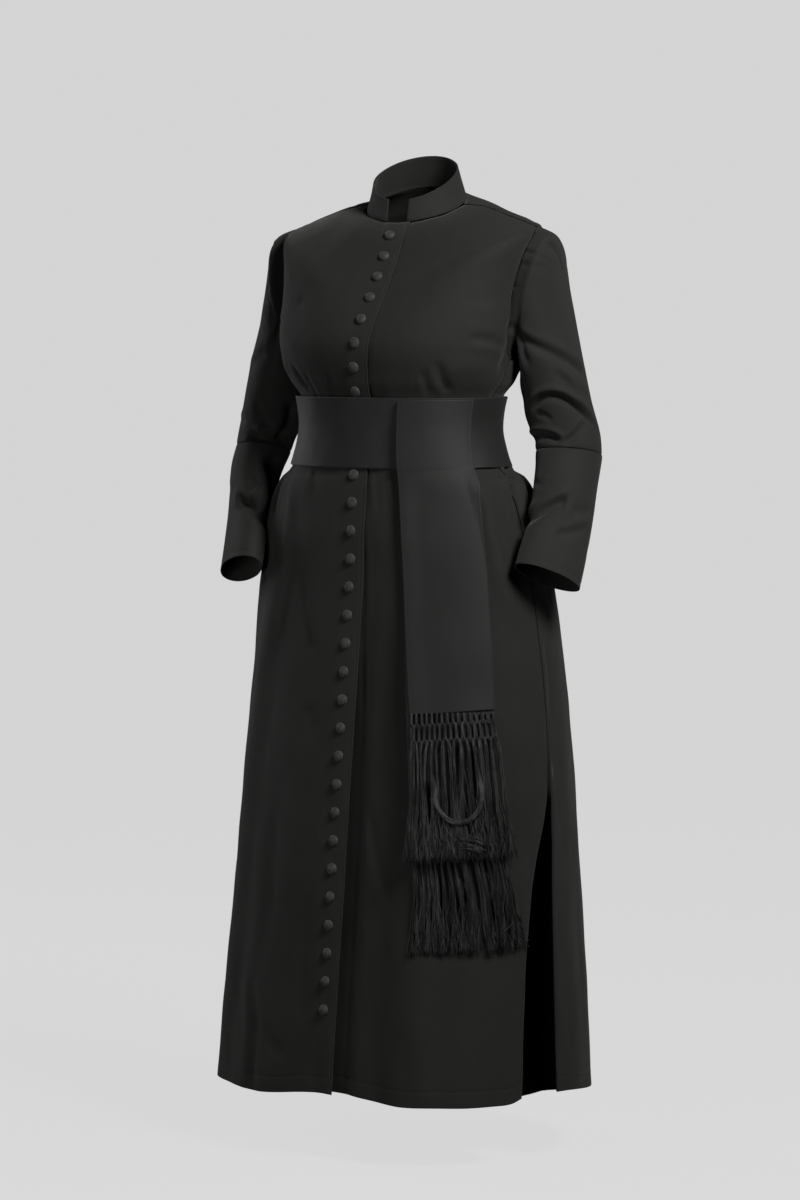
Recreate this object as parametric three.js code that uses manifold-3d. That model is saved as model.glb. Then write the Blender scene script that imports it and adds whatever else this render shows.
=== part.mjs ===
// A clergy cassock for a woman, worn, with its band cincture: a long single-breasted coat of
// black worsted cloth, buttoned down the front, with a stand collar, set-in sleeves and deep
// cuffs, and a broad sash round the waist whose two fringed tails hang at the wearer's left.
// Millimetres, +Z up. The origin is the middle of the neck at the height of the neck seam's side.
// The garment faces -Y, and +X is the wearer's left. The skirt is turned a little to the right.
import * as THREE from 'three';
import Module from 'manifold-3d';

const wasm = await Module();
wasm.setup();

// ---------------------------------------------------------------- driving dimensions
const CLOTH = 1.8;              // wall of the coat: worsted, with its inside finish
const GAP = 0.3;                // between two pieces at a seam
const BUTTON_LINE_TO_EDGE = 22; // right front's edge, past the button line
const UNDERLAP = 26;            // left front's edge, past the button line the other way
const UNDERLAP_EASE = 34;       // width over which the left front dips under the right one
const UNDERLAP_GAP = 0.8;       // between the two fronts where one lies on the other
const COLLAR_CLOTH = 2.2;
const COLLAR_NOTCH = 17;        // half the opening between the collar's ends
const COLLAR_SEAM_GAP = 1.1;    // under the collar, whose facets differ from the panels'
const CUFF_SEAM_GAP = 1.2;      // between a sleeve's foot and its cuff's top
const BAND_CLOTH = 2.6;
const BAND_CLEAR = 0.7;         // between the coat and the band
const BAND_TOP = -291;
const BAND_BOTTOM = -394;
const TAIL_CLOTH = 2;
const TAIL_CLEAR = 1.2;         // between the band and the tail that lies on it
const TAIL_HANG = 3.2;          // between the skirt and the back tail
const TAIL_GAP = 1.1;           // between the two tails
const FRINGE_THICK = 6;
const FRINGE_CLEAR = 3;         // between the two fringes, where the front one lies on the back one
const BUTTON_RADIUS = 8;
const BUTTON_HEIGHT = 5;
const BUTTON_SIDES = 12;
const BUTTON_CLEAR = 0.65;      // between the cloth and a button's back

// ---------------------------------------------------------------- the coat's form
// Level lines round the body. Each is a rounded ring: its height at the front, side and back,
// its half width, its depth to the front and to the back of its centre, the centre itself, how
// square it is (2 is an ellipse) and how far it is turned to the wearer's right, in degrees.
const LEVEL_COLUMNS = ['name', 'front', 'side', 'back', 'half', 'fore', 'aft', 'x', 'y', 'square', 'turn'];
const LEVELS = [
  ['neck seam',      -33,   -6,   21,  76,  75,  66, 0,   6, 2.00, 0.0],
  ['yoke',           -53,  -11,    2, 110,  97,  80, 0,   6, 2.05, 0.0],
  ['high shoulder',  -82,  -24,  -28, 150, 111,  88, 0,   5, 2.20, 0.0],
  ['mid shoulder',  -112,  -35,  -62, 180, 131,  95, 0,   3, 2.30, 0.3],
  ['shoulder point', -138, -46,  -92, 198, 143,  99, 0,   0, 2.45, 0.8],
  ['high armhole',  -160,  -85, -125, 192, 153, 101, 0,  -5, 2.50, 1.6],
  ['mid armhole',   -180, -130, -160, 187, 158, 104, 0, -11, 2.50, 2.6],
  ['low armhole',   -205, -180, -197, 183, 158, 105, 0, -19, 2.50, 4.0],
  ['underarm',      -235, -235, -235, 179, 152, 103, 0, -28, 2.45, 5.5],
  ['ribs',          -264, -264, -264, 174, 144,  98, 0, -33, 2.35, 6.7],
  ['above band', BAND_TOP, BAND_TOP, BAND_TOP, 163, 136,  91, 0, -37, 2.25, 7.5],
  ['waist',         -340, -340, -340, 159, 131,  86, 0, -39, 2.20, 8.0],
  ['under band', BAND_BOTTOM, BAND_BOTTOM, BAND_BOTTOM, 174, 135,  95, 0, -39, 2.20, 8.0],
  ['high hip',      -414, -414, -414, 194, 139, 110, 1, -39, 2.20, 8.0],
  ['hip',           -440, -440, -440, 206, 143, 124, 2, -39, 2.20, 8.0],
  ['low hip',       -490, -490, -490, 217, 149, 142, 3, -39, 2.20, 8.0],
  ['hand',          -550, -550, -550, 227, 153, 158, 4, -39, 2.20, 8.0],
  ['thigh',         -640, -640, -640, 240, 163, 172, 4, -39, 2.20, 8.0],
  ['knee',          -760, -760, -760, 253, 176, 186, 4, -39, 2.15, 8.0],
  ['pleat top',     -860, -860, -860, 261, 186, 197, 3, -39, 2.15, 8.0],
  ['calf',         -1000,-1000,-1000, 271, 200, 210, 2, -39, 2.10, 8.0],
  ['ankle',        -1160,-1160,-1160, 282, 213, 222, 1, -39, 2.10, 8.0],
  ['hem',          -1321,-1317,-1322, 292, 227, 232, 0, -39, 2.10, 8.0],
];

// Folds that stand in the cloth: the angle round the body where each starts and ends, its two
// heights, its half width in degrees and its depth, out for a ridge and in for a trough.
const FOLD_COLUMNS = ['name', 'angle0', 'angle1', 'top', 'foot', 'width', 'depth'];
const FOLDS = [
  ['left hip pleat',        66,   76, -392,  -640,  6,   6],
  ['left hip trough',       78,   84, -396,  -620,  6,  -7],
  ['right hip pleat',      -66,  -76, -392,  -700,  6,   6],
  ['right hip trough',     -78,  -84, -396,  -620,  6,  -6],
  ['right front ridge',    -50,  -62, -470, -1400, 11,   7],
  ['left front ridge',      58,   52, -700, -1400, 13,   6],
  ['front dip at tails',    24,   20, -600, -1400, 12,  -5],
  ['back left ridge',      128,  134, -420, -1400, 13,   8],
  ['back left trough',     154,  152, -480, -1400, 10,  -7],
  ['back right ridge',    -136, -142, -450, -1400, 13,   8],
  ['back right trough',   -112, -118, -520, -1400, 11,  -7],
];

// Where the two fronts meet, the hem rides up a little.
const HEM_LIFT = 14;
const HEM_LIFT_REACH = 36;    // degrees, each side of the buttons
const HEM_LIFT_FROM = 'calf'; // level above which there is none

// The inverted pleat let into each side seam.
const PLEAT_TOP = -860;
const PLEAT_LENGTH = 462;
const PLEAT_DEPTH = 58;
const PLEAT_HALF_WIDTH = 6.2;   // degrees, at the hem
const CLOSED_HALF_WIDTH = 2.4;  // degrees between the seam and its next column above the pleat
const PLEAT_SLOPE = 1.5;        // degrees, each side of the groove
const PLEAT_DRIFT = 9.6;        // degrees that its mouth comes forward by the hem
const PLEAT_DRIFT_POWER = 0.6;
const SIDE_SEAM = 86.2;         // degrees from the middle of the front
const SHOULDER_SEAM = 92;       // the same seam above the armhole
const SHOULDER_HEIGHT = -40;
const UNDERARM_HEIGHT = -238;

// ---------------------------------------------------------------- small helpers
const rad = THREE.MathUtils.degToRad;
const lerp = THREE.MathUtils.lerp;
const clamp01 = (t) => Math.min(1, Math.max(0, t));
const smooth = (t) => clamp01(t) ** 2 * (3 - 2 * clamp01(t));
const degrees = THREE.MathUtils.radToDeg;

function named(columns, rows) {
  return rows.map((row) => Object.fromEntries(columns.map((column, i) => [column, row[i]])));
}

const levels = named(LEVEL_COLUMNS, LEVELS);
const folds = named(FOLD_COLUMNS, FOLDS);
const lowest = levels.length - 1;
const placeOf = (name) => levels.findIndex((level) => level.name === name);

// The smooth curve that passes q and r, with p before and s after, a share t of the way on.
function curve(p, q, r, s, t) {
  return q + 0.5 * t * (r - p + t * (2 * p - 5 * q + 4 * r - s + t * (3 * (q - r) + s - p)));
}

// A column of a table read at any place between its rows.
function read(rows, column, place) {
  const last = rows.length - 1;
  const i = Math.min(last - 1, Math.max(0, Math.floor(place)));
  const at = (k) => rows[k][column];
  const before = i > 0 ? at(i - 1) : 2 * at(0) - at(1);
  const after = i + 2 <= last ? at(i + 2) : 2 * at(last) - at(last - 1);
  return curve(before, at(i), at(i + 1), after, place - i);
}

// How far folds move the cloth out, at an angle round the body and a height. A fold fades in over
// the first sixth of its length and out over the last part, unless it runs off the hem.
const FADE_IN = 6;
const FADE_OUT = 2.5;
const FADE_OFF_HEM = 20;
const BELOW_HEM = -1330;

function foldDepth(angle, height) {
  let depth = 0;
  for (const fold of folds) {
    const along = clamp01((fold.top - height) / (fold.top - fold.foot));
    const across = (angle - lerp(fold.angle0, fold.angle1, along)) / fold.width;
    const fadeOut = fold.foot < BELOW_HEM ? FADE_OFF_HEM : FADE_OUT;
    const fade = smooth(along * FADE_IN) * smooth((1 - along) * fadeOut);
    depth += fold.depth * fade * (1 - smooth(Math.abs(across)));
  }
  return depth;
}

function pleatOpening(height) {
  return clamp01((PLEAT_TOP - height) / PLEAT_LENGTH);
}

function seamAngle(height) {
  const overArm = smooth((height - UNDERARM_HEIGHT) / (SHOULDER_HEIGHT - UNDERARM_HEIGHT));
  return lerp(SIDE_SEAM, SHOULDER_SEAM, overArm) - PLEAT_DRIFT * pleatOpening(height) ** PLEAT_DRIFT_POWER;
}

function pleatHalfWidth(height) {
  return Math.max(CLOSED_HALF_WIDTH, PLEAT_HALF_WIDTH * Math.sqrt(pleatOpening(height)));
}

function pleatDepth(angle, height) {
  const fromCentre = Math.abs(Math.abs(angle) - seamAngle(height));
  const across = clamp01((pleatHalfWidth(height) - fromCentre) / PLEAT_SLOPE);
  return PLEAT_DEPTH * Math.sqrt(pleatOpening(height)) * across;
}

function hemLift(place, angle) {
  const from = placeOf(HEM_LIFT_FROM);
  return HEM_LIFT * smooth(1 - Math.abs(angle) / HEM_LIFT_REACH) * smooth((place - from) / (lowest - from));
}

// The height of a ring that tilts from its front to its back and curves over its sides.
function ringHeight(front, side, back, forward) {
  return side + (front - back) / 2 * forward + ((front + back) / 2 - side) * forward * forward;
}

// The outside of the coat, at a place in LEVELS and an angle from the middle of the front.
function outside(place, angle) {
  const level = (column) => read(levels, column, place);
  const a = rad(angle);
  const forward = Math.cos(a);
  const height = ringHeight(level('front'), level('side'), level('back'), forward) + hemLift(place, angle);
  const n = level('square');
  const deep = forward > 0 ? level('fore') : level('aft');
  const plain = (Math.abs(Math.sin(a) / level('half')) ** n + Math.abs(forward / deep) ** n) ** (-1 / n);
  const radius = plain + foldDepth(angle, height) - pleatDepth(angle, height);
  const turned = a - rad(level('turn'));
  const x = level('x') + radius * Math.sin(turned);
  return new THREE.Vector3(x, level('y') - radius * Math.cos(turned), height);
}

// The same surface moved out by a distance along its own normal.
const NORMAL_STEP = 0.02;       // places in LEVELS
const NORMAL_TURN = 0.4;        // degrees

function offset(place, angle, out) {
  const inside = Math.min(lowest - NORMAL_STEP, Math.max(NORMAL_STEP, place));
  const down = outside(inside + NORMAL_STEP, angle).sub(outside(inside - NORMAL_STEP, angle));
  const round = outside(inside, angle + NORMAL_TURN).sub(outside(inside, angle - NORMAL_TURN));
  return outside(place, angle).addScaledVector(down.cross(round).normalize(), out);
}

// The place in LEVELS whose ring passes a height at an angle.
const HALVINGS = 40;

function placeAt(angle, height) {
  let low = 0;
  let high = lowest;
  for (let i = 0; i < HALVINGS; i += 1) {
    const middle = (low + high) / 2;
    const above = outside(middle, angle).z > height;
    low = above ? middle : low;
    high = above ? high : middle;
  }
  return (low + high) / 2;
}

// The angle at which the cloth is a distance round from the middle of the front.
function angleAcross(place, across) {
  return degrees(Math.asin(across / read(levels, 'fore', place)));
}

// ---------------------------------------------------------------- making walls of cloth
function mesh(name, geometry, material) {
  geometry.computeVertexNormals();
  const piece = new THREE.Mesh(geometry, material.clone());
  piece.name = name;
  return piece;
}

function geometryFrom(points, triangles) {
  const geometry = new THREE.BufferGeometry();
  const flat = new Float32Array(points.flatMap((p) => [p.x, p.y, p.z]));
  geometry.setAttribute('position', new THREE.BufferAttribute(flat, 3));
  geometry.setIndex(triangles.flat());
  return geometry;
}

// A closed wall between an outer and an inner grid of points, rows by columns, whose outer face
// looks out where rows run down and columns run to the wearer's left. A round grid joins its ends.
function wall(outer, inner, round = false) {
  const rows = outer.length;
  const columns = outer[0].length;
  const points = [...outer.flat(), ...inner.flat()];
  const at = (r, c, layer) => layer * rows * columns + r * columns + (c % columns);
  const triangles = [];
  const quad = (p, q, r, s) => triangles.push([p, q, r], [p, r, s]);
  const across = round ? columns : columns - 1;
  const foot = rows - 1;
  const edge = columns - 1;
  for (let r = 0; r < rows - 1; r += 1) {
    for (let c = 0; c < across; c += 1) {
      quad(at(r, c, 0), at(r + 1, c, 0), at(r + 1, c + 1, 0), at(r, c + 1, 0));
      quad(at(r, c, 1), at(r, c + 1, 1), at(r + 1, c + 1, 1), at(r + 1, c, 1));
    }
  }
  for (let c = 0; c < across; c += 1) {
    quad(at(0, c, 0), at(0, c + 1, 0), at(0, c + 1, 1), at(0, c, 1));
    quad(at(foot, c, 0), at(foot, c, 1), at(foot, c + 1, 1), at(foot, c + 1, 0));
  }
  for (let r = 0; r < rows - 1 && !round; r += 1) {
    quad(at(r, 0, 0), at(r, 0, 1), at(r + 1, 0, 1), at(r + 1, 0, 0));
    quad(at(r, edge, 0), at(r + 1, edge, 0), at(r + 1, edge, 1), at(r, edge, 1));
  }
  return geometryFrom(points, triangles);
}

// The inner side of a grid of points: each moved in by the wall's thickness, square to the cloth,
// and further at a sharp fold, up to a limit.
const LEAST_SHARE = 0.5;

function inward(grid, thickness, round = false) {
  const rows = grid.length;
  const columns = grid[0].length;
  const wrap = (c) => (round ? (c + columns) % columns : Math.min(columns - 1, Math.max(0, c)));
  const cell = (r, c) => {
    if (r < 0 || r > rows - 2 || (!round && (c < 0 || c > columns - 2))) return null;
    const [p, q] = [grid[r][wrap(c)], grid[r + 1][wrap(c + 1)]];
    const [s, t] = [grid[r + 1][wrap(c)], grid[r][wrap(c + 1)]];
    return q.clone().sub(p).cross(t.clone().sub(s)).normalize();
  };
  return grid.map((row, r) => row.map((point, c) => {
    const faces = [cell(r - 1, c - 1), cell(r - 1, c), cell(r, c - 1), cell(r, c)].filter(Boolean);
    const normal = faces.reduce((sum, face) => sum.add(face), new THREE.Vector3()).normalize();
    const share = faces.reduce((sum, face) => sum + face.dot(normal), 0) / faces.length;
    return point.clone().addScaledVector(normal, -thickness / Math.max(LEAST_SHARE, share));
  }));
}

function solid(geometry) {
  return new wasm.Manifold(new wasm.Mesh({
    numProp: 3,
    vertProperties: geometry.getAttribute('position').array,
    triVerts: new Uint32Array(geometry.getIndex().array),
  }));
}

function geometryOf(manifold) {
  const result = manifold.getMesh();
  const points = Float32Array.from(result.vertProperties);
  const geometry = new THREE.BufferGeometry();
  geometry.setAttribute('position', new THREE.BufferAttribute(points, 3));
  geometry.setIndex([...result.triVerts]);
  return geometry;
}

// ---------------------------------------------------------------- materials
const cloth = (name, colour, roughness) => {
  const material = new THREE.MeshStandardMaterial({ color: colour, roughness, metalness: 0 });
  material.name = name;
  return material;
};
const worsted = cloth('black worsted', 0x1b1b1c, 0.85);
const sashCloth = cloth('black faille', 0x1f1f20, 0.7);
const fringeThread = cloth('black fringe thread', 0x1d1d1e, 0.75);
const buttonCloth = cloth('black button cloth', 0x202021, 0.7);

// ---------------------------------------------------------------- sleeves and cuffs
// The armhole of the left side, from the shoulder round by the front: angle and height.
const ARMHOLE_COLUMNS = ['name', 'angle', 'height'];
const ARMHOLE = [
  ['shoulder point', SHOULDER_SEAM, SHOULDER_HEIGHT],
  ['front, high',    83,  -66],
  ['front, middle',  77, -112],
  ['front, low',     75, -166],
  ['front, corner',  77, -214],
  ['underarm',       90, UNDERARM_HEIGHT],
  ['back, corner',  106, -214],
  ['back, low',     111, -162],
  ['back, middle',  108, -108],
  ['back, high',    100,  -64],
];

// Sections down the left sleeve: the centre, the half sizes towards the arm's outside and its
// back, how far the section tips up towards the shoulder, how far it leans forward, and how far
// its long side is rolled from the outside to the back, all in degrees.
const ARM_COLUMNS = ['name', 'x', 'y', 'z', 'outer', 'across', 'tip', 'lean', 'roll'];
const SLEEVE = [
  ['sleeve head',  201,   4, -147,  98, 72,  77,  0,   0],
  ['high arm',     205,   4, -168,  90, 72,  73,  0,   0],
  ['arm',          209,   4, -195,  73, 71,  66,  0,   0],
  ['mid arm',      214,   5, -225,  60, 68,  53,  0,   5],
  ['low arm',      221,   6, -261,  53, 62,  36,  0,  15],
  ['over elbow',   230,   4, -303,  50, 54,  20,  0,  30],
  ['elbow',       246,    0, -346,  50, 43,  9,  6, 42],
  ['cuff seam',   252,   -5, -373,  50, 41,  3, 14, 45],
];
const CUFF = [
  ['top',         252,   -5, -373,  51, 41,  3, 14, 45],
  ['under elbow', 256,  -28, -412,  49, 37,  0, 24, 45],
  ['forearm',     255,  -68, -480,  50, 29, -1, 31, 45],
  ['mouth',       250, -113, -551,  52, 28, -2, 31, 45],
];
const FOREARM_SHIFT = 14;      // both forearms go this far to the wearer's left with the hips
const ARM_SIDES = 20;
const ARMHOLE_INSET = 2.1;     // a sleeve's first ring lies this far inside the coat's outside
const armhole = named(ARMHOLE_COLUMNS, ARMHOLE);
const sleeveSections = named(ARM_COLUMNS, SLEEVE);
const cuffSections = named(ARM_COLUMNS, CUFF);
const cuffTop = cuffSections[0].z;
const cuffMouth = cuffSections.at(-1).z;

function armholePoint(side, turn, out) {
  const place = (turn * armhole.length) % armhole.length;
  const i = Math.floor(place);
  const t = place - i;
  const at = (k, column) => armhole[(k + armhole.length) % armhole.length][column];
  const along = (column) => curve(at(i - 1, column), at(i, column), at(i + 1, column), at(i + 2, column), t);
  const angle = side * along('angle');
  return offset(placeAt(angle, along('height')), angle, out);
}

function armRing(section, side, grow = 0) {
  const tip = rad(section.tip);
  const lean = rad(section.lean);
  const roll = rad(section.roll);
  const shift = FOREARM_SHIFT * smooth((cuffTop - section.z) / (cuffTop - cuffMouth));
  const centre = new THREE.Vector3(side * section.x + shift, section.y, section.z);
  const outwards = new THREE.Vector3(side * Math.cos(tip), 0, Math.sin(tip));
  const back = new THREE.Vector3(0, Math.cos(lean), -Math.sin(lean));
  const ring = [];
  for (let k = 0; k < ARM_SIDES; k += 1) {
    const turn = (-2 * Math.PI * k) / ARM_SIDES;
    const long = Math.cos(turn - roll) / (section.outer + grow);
    const short = Math.sin(turn - roll) / (section.across + grow);
    const radius = 1 / Math.hypot(long, short);
    ring.push(centre.clone().addScaledVector(outwards, radius * Math.cos(turn))
      .addScaledVector(back, radius * Math.sin(turn)));
  }
  return ring;
}

function middleOf(ring) {
  return ring.reduce((sum, point) => sum.add(point), new THREE.Vector3()).divideScalar(ring.length);
}

function armholeRing(side, out, grow = 0) {
  const ring = Array.from({ length: ARM_SIDES }, (_, k) => armholePoint(side, k / ARM_SIDES, out));
  const centre = middleOf(ring);
  return ring.map((p) => {
    const away = p.clone().sub(centre).setX(0).normalize();
    return p.addScaledVector(away, grow);
  });
}

// Both arms' rings are made the same way round, seen from the wearer's left: the left arm's are
// turned about, so that the wall's outer face looks away from the arm.
const forSide = (side, rings) => (side < 0 ? rings : rings.map((ring) => [...ring].reverse()));

function armTube(name, rings, side, material) {
  const grid = forSide(side, rings);
  return mesh(name, wall(grid, inward(grid, CLOTH, true), true), material);
}

function sleeve(side, name) {
  const down = sleeveSections.map((section) => armRing(section, side));
  const rings = [armholeRing(side, -ARMHOLE_INSET), ...down];
  return armTube(name, rings, side, worsted);
}

function cuff(side, name) {
  const rings = cuffSections.map((section) => armRing(section, side));
  for (const point of rings[0]) point.z -= CUFF_SEAM_GAP;
  return armTube(name, rings, side, worsted);
}

// The room that a sleeve takes out of the coat's panels: the sleeve's own upper rings, grown a
// little, closed at both ends and carried on into the body.
const ROOM_DEPTH = 40;
const ROOM_GAP = 0.8;
const ROOM_FLARE = 6;          // how far its end inside the body is grown
const ROOM_SECTIONS = 5;

function sleeveRoom(side) {
  const sections = sleeveSections.slice(0, ROOM_SECTIONS);
  const rings = forSide(side, [
    armholeRing(side, -ROOM_DEPTH, ROOM_FLARE),
    armholeRing(side, -ARMHOLE_INSET, ROOM_GAP),
    ...sections.map((section) => armRing(section, side, ROOM_GAP)),
  ]);
  const points = rings.flat();
  const triangles = [];
  const at = (r, k) => r * ARM_SIDES + (k % ARM_SIDES);
  for (let r = 0; r < rings.length - 1; r += 1) {
    for (let k = 0; k < ARM_SIDES; k += 1) {
      triangles.push([at(r, k), at(r + 1, k), at(r + 1, k + 1)], [at(r, k), at(r + 1, k + 1), at(r, k + 1)]);
    }
  }
  for (const r of [0, rings.length - 1]) {
    const hub = points.length;
    points.push(middleOf(rings[r]));
    for (let k = 0; k < ARM_SIDES; k += 1) {
      triangles.push(r > 0 ? [at(r, k), hub, at(r, k + 1)] : [at(r, k + 1), hub, at(r, k)]);
    }
  }
  return solid(geometryFrom(points, triangles));
}

// ---------------------------------------------------------------- the coat's four panels
// A column of the cloth is a function from a height and a place in LEVELS to an angle. Near each
// side seam the columns follow the edges of the pleat.
const steady = (angle) => () => angle;
const seamGap = (place, deep) => degrees(GAP / read(levels, deep, place));
const acrossFront = (across) => (height, place) => angleAcross(place, across);
const seamEdge = (side, way) => (height, place) => side * (seamAngle(height) + way * seamGap(place, 'half'));
const pleatFoot = (side, way) => (height) => side * (seamAngle(height)
  + way * (pleatHalfWidth(height) - PLEAT_SLOPE));
const pleatMouth = (side, way) => (height) => side * (seamAngle(height) + way * pleatHalfWidth(height));
const backEdge = (side) => (height, place) => side * (180 - seamGap(place, 'aft'));

const FRONT = -1;
const BACK = 1;
const rightFrontColumns = [
  seamEdge(-1, FRONT), pleatFoot(-1, FRONT), pleatMouth(-1, FRONT),
  ...[-67, -60, -52, -42, -31, -20].map(steady),
  acrossFront(-BUTTON_LINE_TO_EDGE), acrossFront(0), acrossFront(BUTTON_LINE_TO_EDGE),
];
const leftFrontColumns = [
  acrossFront(-UNDERLAP), acrossFront(-BUTTON_LINE_TO_EDGE), acrossFront(0),
  acrossFront(BUTTON_LINE_TO_EDGE), acrossFront(BUTTON_LINE_TO_EDGE + UNDERLAP_EASE),
  ...[32, 42, 51, 60, 67].map(steady),
  pleatMouth(1, FRONT), pleatFoot(1, FRONT), seamEdge(1, FRONT),
];
const backColumns = (side) => [
  seamEdge(side, BACK), pleatFoot(side, BACK), pleatMouth(side, BACK),
  ...[102, 112, 124, 136, 147, 158, 169].map((angle) => steady(side * angle)),
  backEdge(side),
];
const leftBackColumns = backColumns(1);
const rightBackColumns = backColumns(-1).reverse();

function columnAngle(column, place) {
  const seamHeight = outside(place, SIDE_SEAM).z;
  const height = outside(place, column(seamHeight, place)).z;
  return column(height, place);
}

const onSurface = () => 0;

function panel(name, columns, depthUnder) {
  const grid = levels.map((level, place) => columns.map((column) => {
    const angle = columnAngle(column, place);
    return offset(place, angle, -depthUnder(angle, place));
  }));
  const coat = solid(wall(grid, inward(grid, CLOTH))).subtract(sleeveRoom(1)).subtract(sleeveRoom(-1));
  return mesh(name, geometryOf(coat), worsted);
}

// The left front lies under the right one near the buttons.
function underRightFront(angle, place) {
  const edge = angleAcross(place, BUTTON_LINE_TO_EDGE);
  const reach = angleAcross(place, BUTTON_LINE_TO_EDGE + UNDERLAP_EASE);
  return (CLOTH + UNDERLAP_GAP) * (1 - smooth((angle - edge) / (reach - edge)));
}

// ---------------------------------------------------------------- collar
// Sections up the collar: its heights at the front, side and back, and its ring.
const COLLAR_COLUMNS = ['name', 'front', 'side', 'back', 'half', 'fore', 'aft', 'y'];
const COLLAR = [
  ['top',    -2,   35,   66, 64, 62, 62,  0],
  ['middle', -17,  15,   44, 69, 68, 64,  3],
  ['seam',   -33,  -6,   21, 76, 75, 66,  6],
];
const COLLAR_COLUMNS_ROUND = 25;

function collar() {
  const grid = named(COLLAR_COLUMNS, COLLAR).map((row) => {
    const end = degrees(Math.asin(COLLAR_NOTCH / row.fore));
    return Array.from({ length: COLLAR_COLUMNS_ROUND }, (_, c) => {
      const a = rad(lerp(end, 360 - end, c / (COLLAR_COLUMNS_ROUND - 1)));
      const forward = Math.cos(a);
      const deep = forward > 0 ? row.fore : row.aft;
      const radius = 1 / Math.hypot(Math.sin(a) / row.half, forward / deep);
      const height = ringHeight(row.front, row.side, row.back, forward) + COLLAR_SEAM_GAP;
      return new THREE.Vector3(radius * Math.sin(a), row.y - radius * forward, height);
    });
  });
  return mesh('collar', wall(grid, inward(grid, COLLAR_CLOTH)), worsted);
}

// ---------------------------------------------------------------- cincture
// The band lies on the panels' own columns, all round, and on their rows at the waist.
const UNDERLAP_COLUMNS = 4;      // of the left front, which lie under the right one
const bandColumns = [
  ...rightBackColumns.slice(1, -1),
  ...rightFrontColumns,
  ...leftFrontColumns.slice(UNDERLAP_COLUMNS),
  ...leftBackColumns.slice(1),
];
const bandRows = ['above band', 'waist', 'under band'].map(placeOf);
const BAND_OUT = BAND_CLEAR + BAND_CLOTH;

function band() {
  const layer = (out) => bandRows.map((place) => bandColumns.map((column) => (
    offset(place, columnAngle(column, place), out))));
  return mesh('cincture_band', wall(layer(BAND_OUT), layer(BAND_CLEAR), true), sashCloth);
}

// A strip that hangs over the coat between two angles. Its rows give the height, the angles of
// its edges and how far out its inner face is. It also has a section at each level it passes.
const STRIP_COLUMNS = ['name', 'height', 'from', 'to', 'out'];
const OVER_BAND = BAND_OUT + TAIL_CLEAR;
const OVER_TAIL = TAIL_CLOTH + TAIL_GAP;
const TAIL_BACK = [
  ['top',        BAND_TOP - 3,  29, 68, OVER_BAND],
  ['band foot',  BAND_BOTTOM,   30, 66, OVER_BAND],
  ['hip',        -440,          31, 65, TAIL_HANG],
  ['end',        -897,          35, 64, TAIL_HANG],
];
const TAIL_FRONT = [
  ['top',        BAND_TOP - 1,  29, 69, OVER_BAND + OVER_TAIL],
  ['band foot',  BAND_BOTTOM,   30, 67, OVER_BAND + OVER_TAIL],
  ['hip',        -440,          31, 66, TAIL_HANG + OVER_TAIL],
  ['end',        -746,          35, 65, TAIL_HANG + OVER_TAIL],
];
const FRINGE_BACK = [
  ['top',        -897.5,        35, 64, TAIL_HANG],
  ['middle',     -1000,         36, 69, TAIL_HANG],
  ['end',        -1095,         35, 72.5, TAIL_HANG],
];
const FRINGE_FRONT = [
  ['top',        -746.5,        35, 65, TAIL_HANG + OVER_TAIL],
  ['tail end',   -885,          35, 67, TAIL_HANG + FRINGE_THICK + FRINGE_CLEAR],
  ['end',        -961,          34, 70, TAIL_HANG + FRINGE_THICK + 2 * FRINGE_CLEAR],
];
const STRIP_ACROSS = 6;
const LEAST_ROW = 8;           // no two sections of a strip are closer than this

function atHeight(rows, column, height) {
  const i = Math.min(rows.length - 2, rows.findLastIndex((row) => row.height >= height));
  const [above, below] = [rows[i], rows[i + 1]];
  return lerp(above[column], below[column], (above.height - height) / (above.height - below.height));
}

function strip(name, rows, thickness, material) {
  const sections = named(STRIP_COLUMNS, rows);
  const [top, end] = [sections[0].height, sections.at(-1).height];
  const passed = levels.map((level) => level.side).filter((z) => z < top - LEAST_ROW && z > end + LEAST_ROW);
  const layer = (extra) => [top, ...passed, end].map((height) => (
    Array.from({ length: STRIP_ACROSS }, (_, c) => {
      const edges = [atHeight(sections, 'from', height), atHeight(sections, 'to', height)];
      const angle = lerp(...edges, c / (STRIP_ACROSS - 1));
      return offset(placeAt(angle, height), angle, atHeight(sections, 'out', height) + extra);
    })));
  return mesh(name, wall(layer(thickness), layer(0)), material);
}

// ---------------------------------------------------------------- buttons
const UPPER_BUTTONS = { count: 8, first: -53, last: -281.5 };
const LOWER_BUTTONS = { count: 20, first: -404, last: -1186 };

// A button's outline from the middle of its back to the crown, as shares of its radius and height.
const BUTTON_OUTLINE = [[0, 0], [0.86, 0], [1, 0.35], [0.72, 0.85], [0, 1]];

function button(name, height) {
  const outline = BUTTON_OUTLINE.map(([r, h]) => new THREE.Vector2(r * BUTTON_RADIUS, h * BUTTON_HEIGHT));
  const lathe = new THREE.LatheGeometry(outline, BUTTON_SIDES);
  lathe.rotateX(Math.PI / 2);
  const place = placeAt(0, height);
  const foot = offset(place, 0, BUTTON_CLEAR);
  const out = foot.clone().sub(offset(place, 0, 0)).normalize();
  const piece = mesh(name, lathe, buttonCloth);
  piece.position.copy(foot);
  piece.quaternion.setFromUnitVectors(new THREE.Vector3(0, 0, 1), out);
  return piece;
}

// Buttons are an equal distance apart along the cloth, so closer in height where it slopes.
const LINE_STEPS = 200;

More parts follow.
